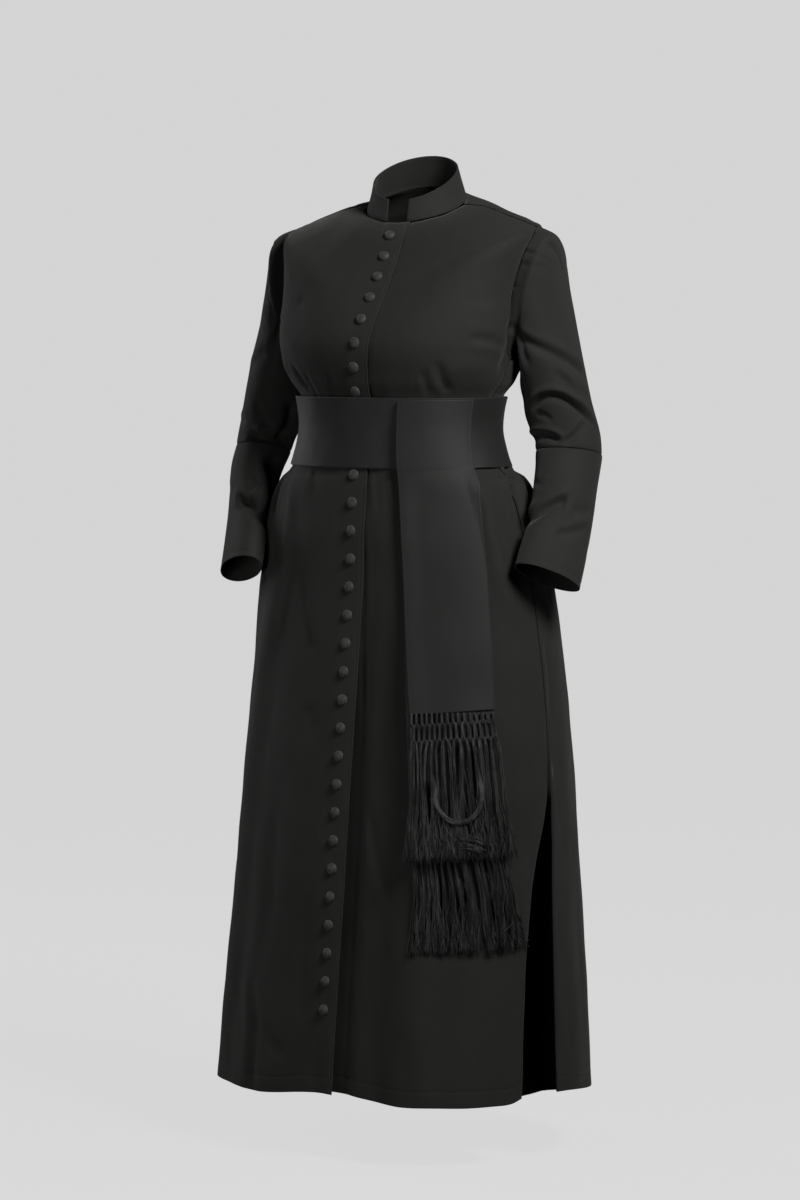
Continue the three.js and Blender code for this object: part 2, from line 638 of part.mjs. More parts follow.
function buttonRow({ count, first, last }, start) {
  const line = Array.from({ length: LINE_STEPS + 1 }, (_, i) => (
    outside(placeAt(0, lerp(first, last, i / LINE_STEPS)), 0)));
  const run = [0];
  for (let i = 1; i <= LINE_STEPS; i += 1) run.push(run[i - 1] + line[i].distanceTo(line[i - 1]));
  return Array.from({ length: count }, (_, i) => {
    const wanted = run[LINE_STEPS] * i / (count - 1);
    const k = Math.max(1, run.findIndex((length) => length >= wanted));
    const along = clamp01((wanted - run[k - 1]) / (run[k] - run[k - 1]));
    return button(`button_${String(start + i).padStart(2, '0')}`, lerp(line[k - 1].z, line[k].z, along));
  });
}

// ---------------------------------------------------------------- the whole garment
const cassock = new THREE.Group();
cassock.add(
  panel('front_right', rightFrontColumns, onSurface),
  panel('front_left', leftFrontColumns, underRightFront),
  panel('back_left', leftBackColumns, onSurface),
  panel('back_right', rightBackColumns, onSurface),
  collar(),
  sleeve(1, 'sleeve_left'),
  sleeve(-1, 'sleeve_right'),
  cuff(1, 'cuff_left'),
  cuff(-1, 'cuff_right'),
  band(),
  strip('tail_back', TAIL_BACK, TAIL_CLOTH, sashCloth),
  strip('tail_front', TAIL_FRONT, TAIL_CLOTH, sashCloth),
  strip('fringe_back', FRINGE_BACK, FRINGE_THICK, fringeThread),
  strip('fringe_front', FRINGE_FRONT, FRINGE_THICK, fringeThread),
  ...buttonRow(UPPER_BUTTONS, 1),
  ...buttonRow(LOWER_BUTTONS, 1 + UPPER_BUTTONS.count),
);

export default cassock;
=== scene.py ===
"""A clergy cassock, worn, with its band cincture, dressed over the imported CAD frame.

The coat's form is worked out in millimetres, as the maker's pattern is, from level lines round the
body, and every cloth piece is a thin wall on that form with its own seams, creases and stitching.
The origin is the middle of the neck; the garment faces -Y and +X is the wearer's left.
"""

import math

import bpy
import numpy as np
from mathutils import Matrix, Vector


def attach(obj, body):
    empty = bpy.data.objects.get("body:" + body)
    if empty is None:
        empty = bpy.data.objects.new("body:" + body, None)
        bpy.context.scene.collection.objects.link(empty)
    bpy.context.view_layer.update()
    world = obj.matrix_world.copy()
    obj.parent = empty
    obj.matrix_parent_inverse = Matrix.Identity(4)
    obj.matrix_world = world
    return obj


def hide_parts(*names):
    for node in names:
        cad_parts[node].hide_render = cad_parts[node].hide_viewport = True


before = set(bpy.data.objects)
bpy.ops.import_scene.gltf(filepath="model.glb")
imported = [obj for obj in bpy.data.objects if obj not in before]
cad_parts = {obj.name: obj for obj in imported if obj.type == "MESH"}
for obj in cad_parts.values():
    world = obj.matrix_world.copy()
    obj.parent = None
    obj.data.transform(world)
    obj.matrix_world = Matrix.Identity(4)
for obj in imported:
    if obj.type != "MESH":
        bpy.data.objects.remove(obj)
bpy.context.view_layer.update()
MM = 0.001

# ------------------------------------------------------------------ camera
FLOOR = -1.413                      # under the wearer's low heels
VIEW_TURN = 25.0                    # degrees from the front, towards the wearer's left
VIEW_DISTANCE = 7.0
VIEW_HEIGHT = -0.113
VIEW_DIP = 3.97                     # degrees down
VIEW_SIDE = -0.023                  # along the picture's own width


def add_camera():
    turn = math.radians(VIEW_TURN)
    across = Vector((math.cos(turn), math.sin(turn), 0))
    towards = Vector((math.sin(turn), -math.cos(turn), 0))
    data = bpy.data.cameras.new("camera")
    data.sensor_fit = "VERTICAL"
    data.sensor_height = 36
    data.lens = 140
    camera = bpy.data.objects.new("camera", data)
    bpy.context.collection.objects.link(camera)
    camera.location = towards * VIEW_DISTANCE + across * VIEW_SIDE + Vector((0, 0, VIEW_HEIGHT))
    camera.rotation_euler = (math.radians(90 - VIEW_DIP), 0, turn)
    bpy.context.scene.camera = camera


add_camera()

# ------------------------------------------------------------------ the coat's form
CLOTH = 1.8                         # wall of the coat
GAP = 0.3                           # between two pieces at a seam
BUTTON_LINE_TO_EDGE = 22            # right front's edge, past the button line
UNDERLAP = 26
UNDERLAP_EASE = 34
UNDERLAP_GAP = 0.8
BAND_CLOTH = 2.6
BAND_CLEAR = 0.7
BAND_TOP = -291
BAND_BOTTOM = -394
TAIL_CLOTH = 2
TAIL_CLEAR = 1.2
TAIL_HANG = 3.2
TAIL_GAP = 1.1

# Level lines round the body: the height at the front, side and back, the half width, the depth
# forward and back of the centre, the centre, how square the ring is and its turn to the right.
LEVEL_COLUMNS = ("name", "front", "side", "back", "half", "fore", "aft", "x", "y", "square", "turn")
LEVELS = (
    ("neck seam", -33, -6, 21, 76, 75, 66, 0, 6, 2.00, 0.0),
    ("yoke", -53, -11, 2, 110, 97, 80, 0, 6, 2.05, 0.0),
    ("high shoulder", -82, -24, -28, 150, 113.5, 88, 0, 5, 2.20, 0.0),
    ("mid shoulder", -112, -35, -62, 180, 131.5, 95, 0, 3, 2.30, 0.3),
    ("shoulder point", -138, -46, -92, 198, 145.5, 99, 0, 0, 2.42, 0.8),
    ("high armhole", -160, -85, -125, 192, 153.5, 101, 0, -5, 2.48, 1.6),
    ("mid armhole", -180, -130, -160, 187, 157, 104, 0, -11, 2.50, 2.6),
    ("low armhole", -205, -180, -197, 183, 157.5, 105, 0, -19, 2.50, 4.0),
    ("underarm", -235, -235, -235, 179, 152, 103, 0, -28, 2.45, 5.5),
    ("ribs", -264, -264, -264, 174, 144, 98, 0, -33, 2.35, 6.7),
    ("above band", BAND_TOP, BAND_TOP, BAND_TOP, 163, 136, 91, 0, -37, 2.25, 7.5),
    ("waist", -340, -340, -340, 159, 131, 86, 0, -39, 2.20, 8.0),
    ("under band", BAND_BOTTOM, BAND_BOTTOM, BAND_BOTTOM, 174, 135, 95, 0, -39, 2.20, 8.0),
    ("high hip", -414, -414, -414, 194, 139, 110, 1, -39, 2.20, 8.0),
    ("hip", -440, -440, -440, 206, 143, 124, 2, -39, 2.20, 8.0),
    ("low hip", -490, -490, -490, 217, 149, 142, 3, -39, 2.20, 8.0),
    ("hand", -550, -550, -550, 227, 153, 158, 4, -39, 2.20, 8.0),
    ("thigh", -640, -640, -640, 240, 163, 172, 4, -39, 2.20, 8.0),
    ("knee", -760, -760, -760, 253, 176, 186, 4, -39, 2.15, 8.0),
    ("pleat top", -860, -860, -860, 261, 186, 197, 3, -39, 2.15, 8.0),
    ("calf", -1000, -1000, -1000, 271, 200, 210, 2, -39, 2.10, 8.0),
    ("ankle", -1160, -1160, -1160, 282, 213, 222, 1, -39, 2.10, 8.0),
    ("hem", -1321, -1317, -1322, 292, 227, 232, 0, -39, 2.10, 8.0),
)
LOWEST = len(LEVELS) - 1

# Large folds: the angle where each starts and ends, its two heights, its half width and its depth.
FOLD_COLUMNS = ("name", "angle0", "angle1", "top", "foot", "width", "depth")
FOLDS = (
    ("left hip pleat", 66, 76, -392, -640, 6, 6),
    ("left hip trough", 78, 84, -396, -620, 6, -7),
    ("right hip pleat", -66, -76, -392, -700, 6, 6),
    ("right hip trough", -78, -84, -396, -620, 6, -6),
    ("right front ridge", -50, -62, -470, -1400, 11, 7),
    ("left front ridge", 58, 52, -700, -1400, 13, 6),
    ("front dip at tails", 24, 20, -600, -1400, 12, -5),
    ("back left ridge", 128, 134, -420, -1400, 13, 8),
    ("back left trough", 154, 152, -480, -1400, 10, -7),
    ("back right ridge", -136, -142, -450, -1400, 13, 8),
    ("back right trough", -112, -118, -520, -1400, 11, -7),
)
FADE_IN = 6                         # a fold comes in over a sixth of its length
FADE_OUT = 2.5
FADE_OFF_HEM = 20                   # and one that runs past the hem keeps its depth there
BELOW_HEM = -1330

HEM_LIFT = 14
HEM_LIFT_REACH = 36                 # degrees, each side of the buttons
HEM_LIFT_FROM = "calf"

# The side seam, and below the knee its inverted pleat: the angles of the pleat's front and back
# folds at each height, and how deep it is.
PLEAT_COLUMNS = ("height", "front", "back", "deep")
PLEAT = (
    (-394, 86.2, 86.2, 0),
    (-640, 86.9, 86.9, 0),
    (-740, 87.0, 87.2, 0),
    (-790, 86.9, 87.3, 0),
    (-840, 86.4, 87.5, 5),
    (-880, 84.9, 87.3, 14),
    (-920, 82.2, 86.4, 27),
    (-960, 79.0, 85.7, 42),
    (-1000, 76.7, 85.0, 58),
    (-1080, 74.3, 84.2, 82),
    (-1160, 72.6, 83.6, 94),
    (-1240, 71.2, 83.0, 96),
    (-1320, 70.0, 82.6, 96),
)
FRONT_ROUND = 3.4                   # degrees over which the pleat's front fold rounds inwards
BACK_ROUND = 2.6
PLEAT_TOP = PLEAT[0][0]
CLOSED_HALF_WIDTH = 0.4
SLOPE_MOST = 0.9                    # of a pleat's half width
SLOPE_EDGE = 0.3
PLEAT_SHIFT = 62                    # the pleat's floor lies behind the back panel by this much
PLEAT_SPREAD = 46                   # and each of its ends is this much further out
SIDE_SEAM = 86.2
SHOULDER_SEAM = 92
SHOULDER_HEIGHT = -40
UNDERARM_HEIGHT = -238


def clamp01(t):
    return np.clip(t, 0, 1)


def smooth(t):
    return clamp01(t) ** 2 * (3 - 2 * clamp01(t))


def lerp(a, b, t):
    return a + (b - a) * t


def bell(off, reach):
    """One where off is nothing, and less and less beyond its reach to either side."""
    return np.exp(-(off / reach) ** 2)


def named(columns, rows):
    """A table's columns by name, each an array, with names left as they are."""
    return {column: np.array([row[i] for row in rows]) for i, column in enumerate(columns)}


def places(table, name):
    return list(table["name"]).index(name)


def curve(p, q, r, s, t):
    """The smooth curve that passes q and r, with p before and s after, a share t of the way on."""
    return q + 0.5 * t * (r - p + t * (2 * p - 5 * q + 4 * r - s + t * (3 * (q - r) + s - p)))


def through(values, place):
    """A row of values, or of points, read at any place between them."""
    values = np.asarray(values, float)
    ends = np.concatenate([[2 * values[0] - values[1]], values, [2 * values[-1] - values[-2]]])
    i = np.clip(np.floor(place).astype(int), 0, len(values) - 2)
    t = np.asarray(place - i, float)
    t = t.reshape(t.shape + (1,) * (values.ndim - 1))
    return curve(ends[i], ends[i + 1], ends[i + 2], ends[i + 3], t)


LEVEL = named(LEVEL_COLUMNS, LEVELS)
FOLD = named(FOLD_COLUMNS, FOLDS)
PLEATED = named(PLEAT_COLUMNS, PLEAT)
CALF = places(LEVEL, HEM_LIFT_FROM)


def fold_depth(angle, height):
    depth = 0
    for angle0, angle1, top, foot, width, deep in zip(*(FOLD[c] for c in FOLD_COLUMNS[1:])):
        along = clamp01((top - height) / (top - foot))
        across = (angle - lerp(angle0, angle1, along)) / width
        fade_out = FADE_OFF_HEM if foot < BELOW_HEM else FADE_OUT
        fade = smooth(along * FADE_IN) * smooth((1 - along) * fade_out)
        depth = depth + deep * fade * (1 - smooth(abs(across)))
    return depth


def pleat_at(column, height):
    return np.interp(-height, -PLEATED["height"], PLEATED[column])


def seam_angle(height):
    over_arm = smooth((height - UNDERARM_HEIGHT) / (SHOULDER_HEIGHT - UNDERARM_HEIGHT))
    middle = (pleat_at("front", height) + pleat_at("back", height)) / 2
    return lerp(middle, SHOULDER_SEAM, over_arm)


def pleat_half_width(height):
    return np.maximum(CLOSED_HALF_WIDTH, (pleat_at("back", height) - pleat_at("front", height)) / 2)


def pleat_slope(height, front):
    return np.minimum(np.where(front, FRONT_ROUND, BACK_ROUND), SLOPE_MOST * pleat_half_width(height))


def pleat_share(angle, height):
    """From nothing on the coat's outside to one at the foot of the pleat's folds."""
    from_centre = abs(angle) - seam_angle(height)
    slope = pleat_slope(height, from_centre < 0)
    return smooth((pleat_half_width(height) + SLOPE_EDGE - abs(from_centre)) / slope)


def pleat_depth(angle, height):
    return pleat_at("deep", height) * pleat_share(angle, height)


def hem_lift(place, angle):
    beside = smooth(1 - abs(angle) / HEM_LIFT_REACH)
    return HEM_LIFT * beside * smooth((place - CALF) / (LOWEST - CALF))


def ring_height(front, side, back, forward):
    return side + (front - back) / 2 * forward + ((front + back) / 2 - side) * forward * forward


def outside(place, angle):
    """The coat's plain outside, at a place in LEVELS and an angle from the middle of the front."""
    place, angle = np.broadcast_arrays(np.asarray(place, float), np.asarray(angle, float))
    level = {column: through(LEVEL[column], place) for column in LEVEL_COLUMNS[1:]}
    a = np.radians(angle)
    forward = np.cos(a)
    height = ring_height(level["front"], level["side"], level["back"], forward) + hem_lift(place, angle)
    n = level["square"]
    deep = np.where(forward > 0, level["fore"], level["aft"])
    plain = (abs(np.sin(a) / level["half"]) ** n + abs(forward / deep) ** n) ** (-1 / n)
    radius = plain + fold_depth(angle, height) - pleat_depth(angle, height)
    turned = a - np.radians(level["turn"])
    x = level["x"] + radius * np.sin(turned)
    y = level["y"] - radius * np.cos(turned)
    return np.stack([x, y, height], -1)


NORMAL_STEP = 0.02
NORMAL_TURN = 0.4


def unit(vectors):
    return vectors / np.maximum(np.linalg.norm(vectors, axis=-1, keepdims=True), 1e-9)


def offset(place, angle, out):
    """The same surface moved out by a distance along its own normal."""
    place, angle = np.broadcast_arrays(np.asarray(place, float), np.asarray(angle, float))
    inside = np.clip(place, NORMAL_STEP, LOWEST - NORMAL_STEP)
    down = outside(inside + NORMAL_STEP, angle) - outside(inside - NORMAL_STEP, angle)
    across = outside(inside, angle + NORMAL_TURN) - outside(inside, angle - NORMAL_TURN)
    normal = unit(np.cross(down, across))
    return outside(place, angle) + normal * np.asarray(out, float)[..., None]


HALVINGS = 30


def place_at(angle, height):
    """The place in LEVELS whose ring passes a height at an angle."""
    angle, height = np.broadcast_arrays(np.asarray(angle, float), np.asarray(height, float))
    low, high = np.zeros(angle.shape), np.full(angle.shape, float(LOWEST))
    for _ in range(HALVINGS):
        middle = (low + high) / 2
        above = outside(middle, angle)[..., 2] > height
        low, high = np.where(above, middle, low), np.where(above, high, middle)
    return (low + high) / 2


def angle_across(place, across):
    return np.degrees(np.arcsin(across / through(LEVEL["fore"], place)))


# ------------------------------------------------------------------ sleeves' form
ARMHOLE_COLUMNS = ("name", "angle", "height")
ARMHOLE = (
    ("shoulder point", SHOULDER_SEAM, SHOULDER_HEIGHT),
    ("front, high", 84, -66),
    ("front, middle", 79, -112),
    ("front, low", 78, -166),
    ("front, corner", 82, -214),
    ("underarm", 90, UNDERARM_HEIGHT),
    ("back, corner", 106, -214),
    ("back, low", 111, -162),
    ("back, middle", 108, -108),
    ("back, high", 100, -64),
)
HOLE = named(ARMHOLE_COLUMNS, ARMHOLE)
HOLE_ROUND = {column: np.concatenate([HOLE[column][-2:], HOLE[column], HOLE[column][:3]])
              for column in ARMHOLE_COLUMNS[1:]}

ARM_COLUMNS = ("name", "x", "y", "z", "outer", "across", "tip", "lean", "roll")
SLEEVE = (
    ("sleeve head", 201, 4, -147, 98, 72, 77, 0, 0),
    ("high arm", 205, 4, -168, 90, 72, 73, 0, 0),
    ("arm", 209, 4, -195, 73, 71, 66, 0, 0),
    ("mid arm", 214, 5, -225, 60, 68, 53, 0, 5),
    ("low arm", 221, 6, -261, 53, 62, 36, 0, 15),
    ("over elbow", 230, 4, -303, 50, 54, 20, 0, 30),
    ("elbow", 246, 0, -346, 50, 43, 9, 6, 42),
    ("cuff seam", 252, -5, -373, 50, 41, 3, 14, 45),
)
CUFF = (
    ("top", 252, -5, -373, 51, 41, 3, 14, 45),
    ("under elbow", 256, -28, -412, 49, 37, 0, 24, 45),
    ("forearm", 255, -68, -480, 50, 29, -1, 31, 45),
    ("mouth", 250, -113, -551, 52, 28, -2, 31, 45),
)
FOREARM_SHIFT = 14
CUFF_SEAM_GAP = 1.2
CUFF_TOP = CUFF[0][3]
CUFF_MOUTH = CUFF[-1][3]


def armhole_line(turn):
    """The armhole's angle and height, a share of the way round from the shoulder by the front."""
    place = (np.asarray(turn, float) % 1) * len(ARMHOLE) + 2
    return through(HOLE_ROUND["angle"], place), through(HOLE_ROUND["height"], place)


def armhole_points(side, turn, out):
    angle, height = armhole_line(turn)
    return offset(place_at(side * angle, height), side * angle, out)


def arm_ring(section, side, turn):
    """The ring of one section of an arm. turn is in degrees from the arm's outside by its front."""
    _, x, y, z, outer, across, tip, lean, roll = section
    tip, lean, roll = math.radians(tip), math.radians(lean), math.radians(roll)
    shift = FOREARM_SHIFT * float(smooth((CUFF_TOP - z) / (CUFF_TOP - CUFF_MOUTH)))
    centre = np.array([side * x + shift, y, z])
    outwards = np.array([side * math.cos(tip), 0, math.sin(tip)])
    back = np.array([0, math.cos(lean), -math.sin(lean)])
    a = -np.radians(turn)
    radius = 1 / np.hypot(np.cos(a - roll) / outer, np.sin(a - roll) / across)
    return centre + (radius * np.cos(a))[:, None] * outwards + (radius * np.sin(a))[:, None] * back


def section_column(rows, name):
    return np.array([row[ARM_COLUMNS.index(name)] for row in rows], float)


# ------------------------------------------------------------------ creases
# A crease is a curve on a piece through two ends and a bend, each an angle (on an arm, a turn)
# and a height. Along it the cloth rises by its ridge and, a distance to its left, as it is drawn,
# sinks by its trough. The widths, rises and distances are in mm.
CREASES = (
    # piece, start's angle and height, bend's, end's, width, ridge, trough, distance beside
    # bodice, the wearer's left
    ("coat", 48, -164, 60, -162, 72, -167, 10, 0.9, 0.7, 14),
    ("coat", 52, -196, 62, -190, 76, -200, 11, 1.0, 1.0, -15),
    ("coat", 58, -216, 68, -217, 84, -236, 6, 2.2, 3.0, 9),
    ("coat", 46, -257, 60, -247, 77, -252, 15, 3.0, 0.0, 0),
    ("coat", 42, -236, 47, -266, 56, -291, 6, 2.2, 5.5, 8),
    ("coat", 36, -252, 40, -271, 43, -291, 5, 1.6, 3.4, 6),
    ("coat", 35, -254, 35, -264, 36, -276, 3, 0.3, 1.2, 3),
    ("coat", 78, -172, 82, -214, 81, -262, 9, 0.0, 6.0, 0),
    # bodice, the wearer's right
    ("coat", -42, -147, -40, -153, -39, -161, 6, 0.0, 1.4, 0),
    ("coat", -49, -244, -45, -268, -39, -291, 5, 0.8, 4.0, 7),
    ("coat", -33, -250, -32, -272, -31, -291, 5, 0.6, 2.6, -7),
    ("coat", -22, -254, -22, -274, -21, -291, 5, 0.5, 1.8, 7),
    ("coat", -14, -266, -14, -276, -13, -289, 3, 0.8, 0.5, 5),
    ("coat", -78, -172, -82, -214, -81, -262, 9, 0.0, 6.0, 0),
    ("coat", -50, -176, -61, -172, -73, -178, 5, 0.8, 0.8, 8),
    ("coat", -50, -252, -62, -246, -76, -250, 14, 2.4, 0.0, 0),
    # the back, above the waist
    ("coat", 112, -190, 124, -222, 146, -262, 6, 1.6, 1.8, 9),
    ("coat", -112, -186, -126, -220, -150, -258, 7, 1.8, 1.8, -9),
    ("coat", 152, -256, 156, -272, 158, -289, 5, 1.4, 2.2, 7),
    ("coat", 128, -262, 131, -276, 132, -289, 4, 1.2, 1.8, 6),
    ("coat", -148, -252, -152, -272, -156, -289, 5, 1.5, 2.3, -7),
    ("coat", -126, -266, -129, -278, -130, -290, 4, 1.0, 1.6, -6),
    ("coat", 140, -150, 156, -157, 173, -154, 9, 1.2, 1.4, 12),
    ("coat", -177, -155, -168, -153, -156, -144, 7, 1.0, 1.1, 9),
    # hips
    ("coat", -56, -384, -60, -424, -60, -480, 6, 2.8, 6.0, -9),
    ("coat", -54, -400, -56, -420, -57, -446, 3, 1.4, 1.2, -4),
    ("coat", -50, -408, -46, -520, -50, -710, 10, 2.6, 0.8, 20),
    ("coat", -34, -396, -34, -416, -33, -446, 5, 0.8, 1.4, 7),
    ("coat", 90, -386, 83, -428, 83, -540, 6, 3.4, 9.5, 8),
    ("coat", 99, -386, 94, -430, 95, -530, 6, 2.4, 8.0, 8),
    ("coat", 12, -396, 13, -420, 15, -470, 6, 0.8, 1.0, 8),
    ("coat", 100, -398, 104, -432, 106, -500, 7, 2.4, 3.4, 10),
    ("coat", 120, -396, 121, -430, 124, -486, 6, 1.6, 2.4, 9),
    ("coat", 146, -397, 147, -424, 150, -470, 6, 1.8, 2.8, -9),
    ("coat", 170, -396, 170, -424, 168, -482, 7, 1.4, 2.4, 9),
    ("coat", -162, -396, -163, -436, -166, -500, 7, 2.0, 2.8, -9),
    ("coat", -138, -397, -138, -422, -140, -462, 5, 1.2, 2.2, 8),
    ("coat", -104, -397, -108, -440, -112, -520, 7, 2.4, 3.4, -10),
    ("coat", -80, -394, -86, -430, -92, -486, 6, 2.4, 5.0, -9),
    # the skirt's front
    ("coat", -30, -540, -23, -615, -17, -664, 13, 0.8, 2.8, -14),
    ("coat", -20, -742, -18, -766, -15, -792, 11, 0.4, 2.0, 0),
    ("coat", -44, -900, -40, -1000, -42, -1160, 16, 1.8, 1.8, 30),
    ("coat", -46, -1150, -41, -1230, -40, -1360, 13, 2.4, 2.4, 20),
    ("coat", -36, -1190, -27, -1226, -16, -1250, 14, 0.6, 1.8, -15),
    ("coat", -14, -980, -12, -1100, -13, -1240, 17, 0.0, 2.0, 0),
    ("coat", 10, -880, 15, -968, 23, -1046, 9, 1.0, 2.4, 18),
    ("coat", 39, -800, 39, -1000, 40, -1480, 24, 7.0, 0.0, 0),
    ("coat", 52, -1030, 50, -1180, 52, -1440, 30, 2.0, 2.0, 46),
    ("coat", 87, -636, 88, -700, 87, -770, 5, 1.2, 2.4, 6),
    ("coat", 86, -520, 92, -560, 95, -640, 8, 2.0, 3.2, 10),
    ("coat", -84, -560, -90, -610, -92, -700, 8, 1.6, 2.6, -10),
    # the skirt's back
    ("coat", 116, -700, 119, -900, 121, -1380, 20, 3.6, 4.6, 42),
    ("coat", 142, -640, 140, -860, 143, -1380, 20, 3.0, 4.2, -40),
    ("coat", -172, -600, -170, -900, -171, -1380, 22, 3.4, 4.8, 44),
    ("coat", -126, -760, -124, -960, -126, -1380, 19, 2.6, 4.2, -38),
    ("coat", 104, -900, 105, -1080, 107, -1380, 15, 2.2, 2.8, 28),
    ("coat", -98, -880, -100, -1060, -99, -1380, 15, 2.4, 2.4, -28),
    # left sleeve
    ("sleeve_left", 24, -60, 2, -72, -11, -114, 5, 1.6, 3.8, 5),
    ("sleeve_left", 47, -71, 31, -78, 13, -90, 4, 1.0, 1.6, 6),
    ("sleeve_left", 62, -89, 42, -91, 18, -94, 5, 0.8, 1.2, 7),
    ("sleeve_left", 82, -99, 76, -100, 69, -102, 5, 0.0, 1.6, 0),
    ("sleeve_left", 92, -120, 85, -121, 77, -123, 4, 0.6, 1.8, 5),
    ("sleeve_left", 140, -196, 118, -214, 104, -262, 7, 2.6, 4.2, -10),
    ("sleeve_left", 116, -184, 52, -216, -24, -258, 8, 3.0, 6.5, 10),
    ("sleeve_left", 152, -214, 140, -250, 122, -300, 9, 0.0, 4.0, 0),
    ("sleeve_left", 56, -238, 30, -266, -22, -290, 8, 1.6, 2.0, 9),
    ("sleeve_left", 40, -252, 34, -268, 22, -292, 8, 1.2, 1.8, 10),
    ("sleeve_left", 132, -318, 64, -280, -20, -342, 5.5, 5.5, 10.5, 8.5),
    ("sleeve_left", 110, -323, 98, -316, 84, -329, 5, 0.8, 4.0, 0),
    ("sleeve_left", 88, -356, 46, -334, 22, -318, 5, 2.4, 4.6, 7),
    ("sleeve_left", 172, -352, 112, -338, 72, -352, 5.5, 4.5, 10.0, 8),
    ("sleeve_left", -40, -322, -76, -302, -120, -316, 8, 2.4, 5.6, -10),
    ("sleeve_left", -36, -352, -80, -338, -128, -350, 6, 1.6, 3.2, -8),
    ("sleeve_left", -40, -194, -70, -214, -110, -226, 8, 1.8, 2.8, -12),
    ("sleeve_left", -50, -120, -78, -150, -112, -172, 7, 1.2, 2.0, -9),
    ("sleeve_left", 178, -250, 160, -268, 140, -300, 7, 1.6, 2.8, 9),
    # right sleeve
    ("sleeve_right", 140, -196, 118, -220, 102, -266, 7, 1.6, 2.6, -10),
    ("sleeve_right", 26, -62, 6, -74, -8, -112, 5, 1.4, 2.6, 5),
    ("sleeve_right", 92, -116, 72, -122, 50, -120, 5, 0.8, 1.0, 7),
    ("sleeve_right", 112, -170, 98, -196, 78, -226, 7, 2.2, 3.6, 9),
    ("sleeve_right", 142, -188, 146, -230, 140, -290, 9, 0.0, 5.0, 0),
    ("sleeve_right", 86, -200, 60, -226, 26, -252, 9, 1.6, 2.0, 12),
    ("sleeve_right", 78, -349, 122, -357, 178, -350, 7, 0.0, 13.0, 0),
    ("sleeve_right", 80, -337, 118, -344, 136, -318, 7, 4.5, 0.0, 0),
    ("sleeve_right", 138, -296, 146, -335, 152, -374, 10, 0.0, 9.0, 0),
    ("sleeve_right", 60, -358, 92, -364, 118, -372, 6, 2.0, 1.6, 8),
    ("sleeve_right", 82, -296, 100, -318, 132, -342, 6, 2.0, 3.6, -8),
    ("sleeve_right", 66, -330, 40, -322, 10, -330, 7, 1.4, 2.6, 9),
    ("sleeve_right", -54, -318, -86, -300, -128, -318, 8, 2.4, 5.6, -10),
    ("sleeve_right", -30, -350, -84, -340, -130, -352, 6, 1.4, 3.0, -8),
    ("sleeve_right", -50, -200, -78, -218, -116, -230, 8, 1.6, 2.4, -12),
    ("sleeve_right", 176, -254, 158, -270, 140, -302, 7, 1.6, 2.8, 9),
    # cuffs
    ("cuff_left", 50, -434, 96, -438, 176, -476, 8, 4.2, 9.5, -9),
    ("cuff_left", 82, -478, 32, -476, -24, -468, 8, 1.4, 3.4, 10),
    ("cuff_left", 44, -452, 6, -456, -34, -452, 9, 0.0, 3.4, 0),
    ("cuff_left", 132, -404, 116, -410, 96, -404, 6, 0.8, 2.0, 7),
    ("cuff_left", -46, -428, -86, -438, -128, -430, 9, 1.4, 3.2, 10),
    ("cuff_left", -40, -498, -84, -510, -120, -500, 9, 0.8, 1.6, 11),
    ("cuff_right", 100, -404, 128, -427, 104, -446, 6, 1.5, 4.0, -7),
    ("cuff_right", 66, -450, 124, -459, 180, -496, 10, 0.0, 17.0, 0),
    ("cuff_right", 52, -439, 112, -442, 140, -424, 8, 3.4, 0.0, 0),
    ("cuff_right", 128, -378, 164, -420, 176, -484, 13, 0.0, 12.0, 0),
    ("cuff_right", 60, -420, 30, -428, 0, -422, 9, 0.8, 1.4, 10),
    ("cuff_right", -46, -424, -88, -436, -130, -428, 9, 1.4, 3.0, 10),
)
CREASE_STEPS = 32
CREASE_END = 0.24                   # share of a crease over which each of its ends fades
CREASE_REACH = 3                    # widths to each side beyond which a crease does nothing
CLOSING_IN = 0.05                   # the most that a nearest place moves in one round


def coat_radius(height):
    order = slice(None, None, -1)
    return np.interp(height, LEVEL["side"][order], ((LEVEL["half"] + LEVEL["fore"]) / 2)[order])


def arm_radius(height):
    rows = SLEEVE + CUFF[1:]
    size = (section_column(rows, "outer") + section_column(rows, "across")) / 2
    return np.interp(height, section_column(rows, "z")[::-1], size[::-1])


def on_sheet(angle, height, radius):
    return np.stack(np.broadcast_arrays(np.radians(angle) * radius(height), height), -1)


def bent_line(start, bend, finish, t):
    return (1 - t) ** 2 * start + 2 * t * (1 - t) * bend + t * t * finish


def bent_pull(start, bend, finish, t):
    """The way on along a bent line, as long as the line runs fast there."""
    return 2 * (1 - t) * (bend - start) + 2 * t * (finish - bend)


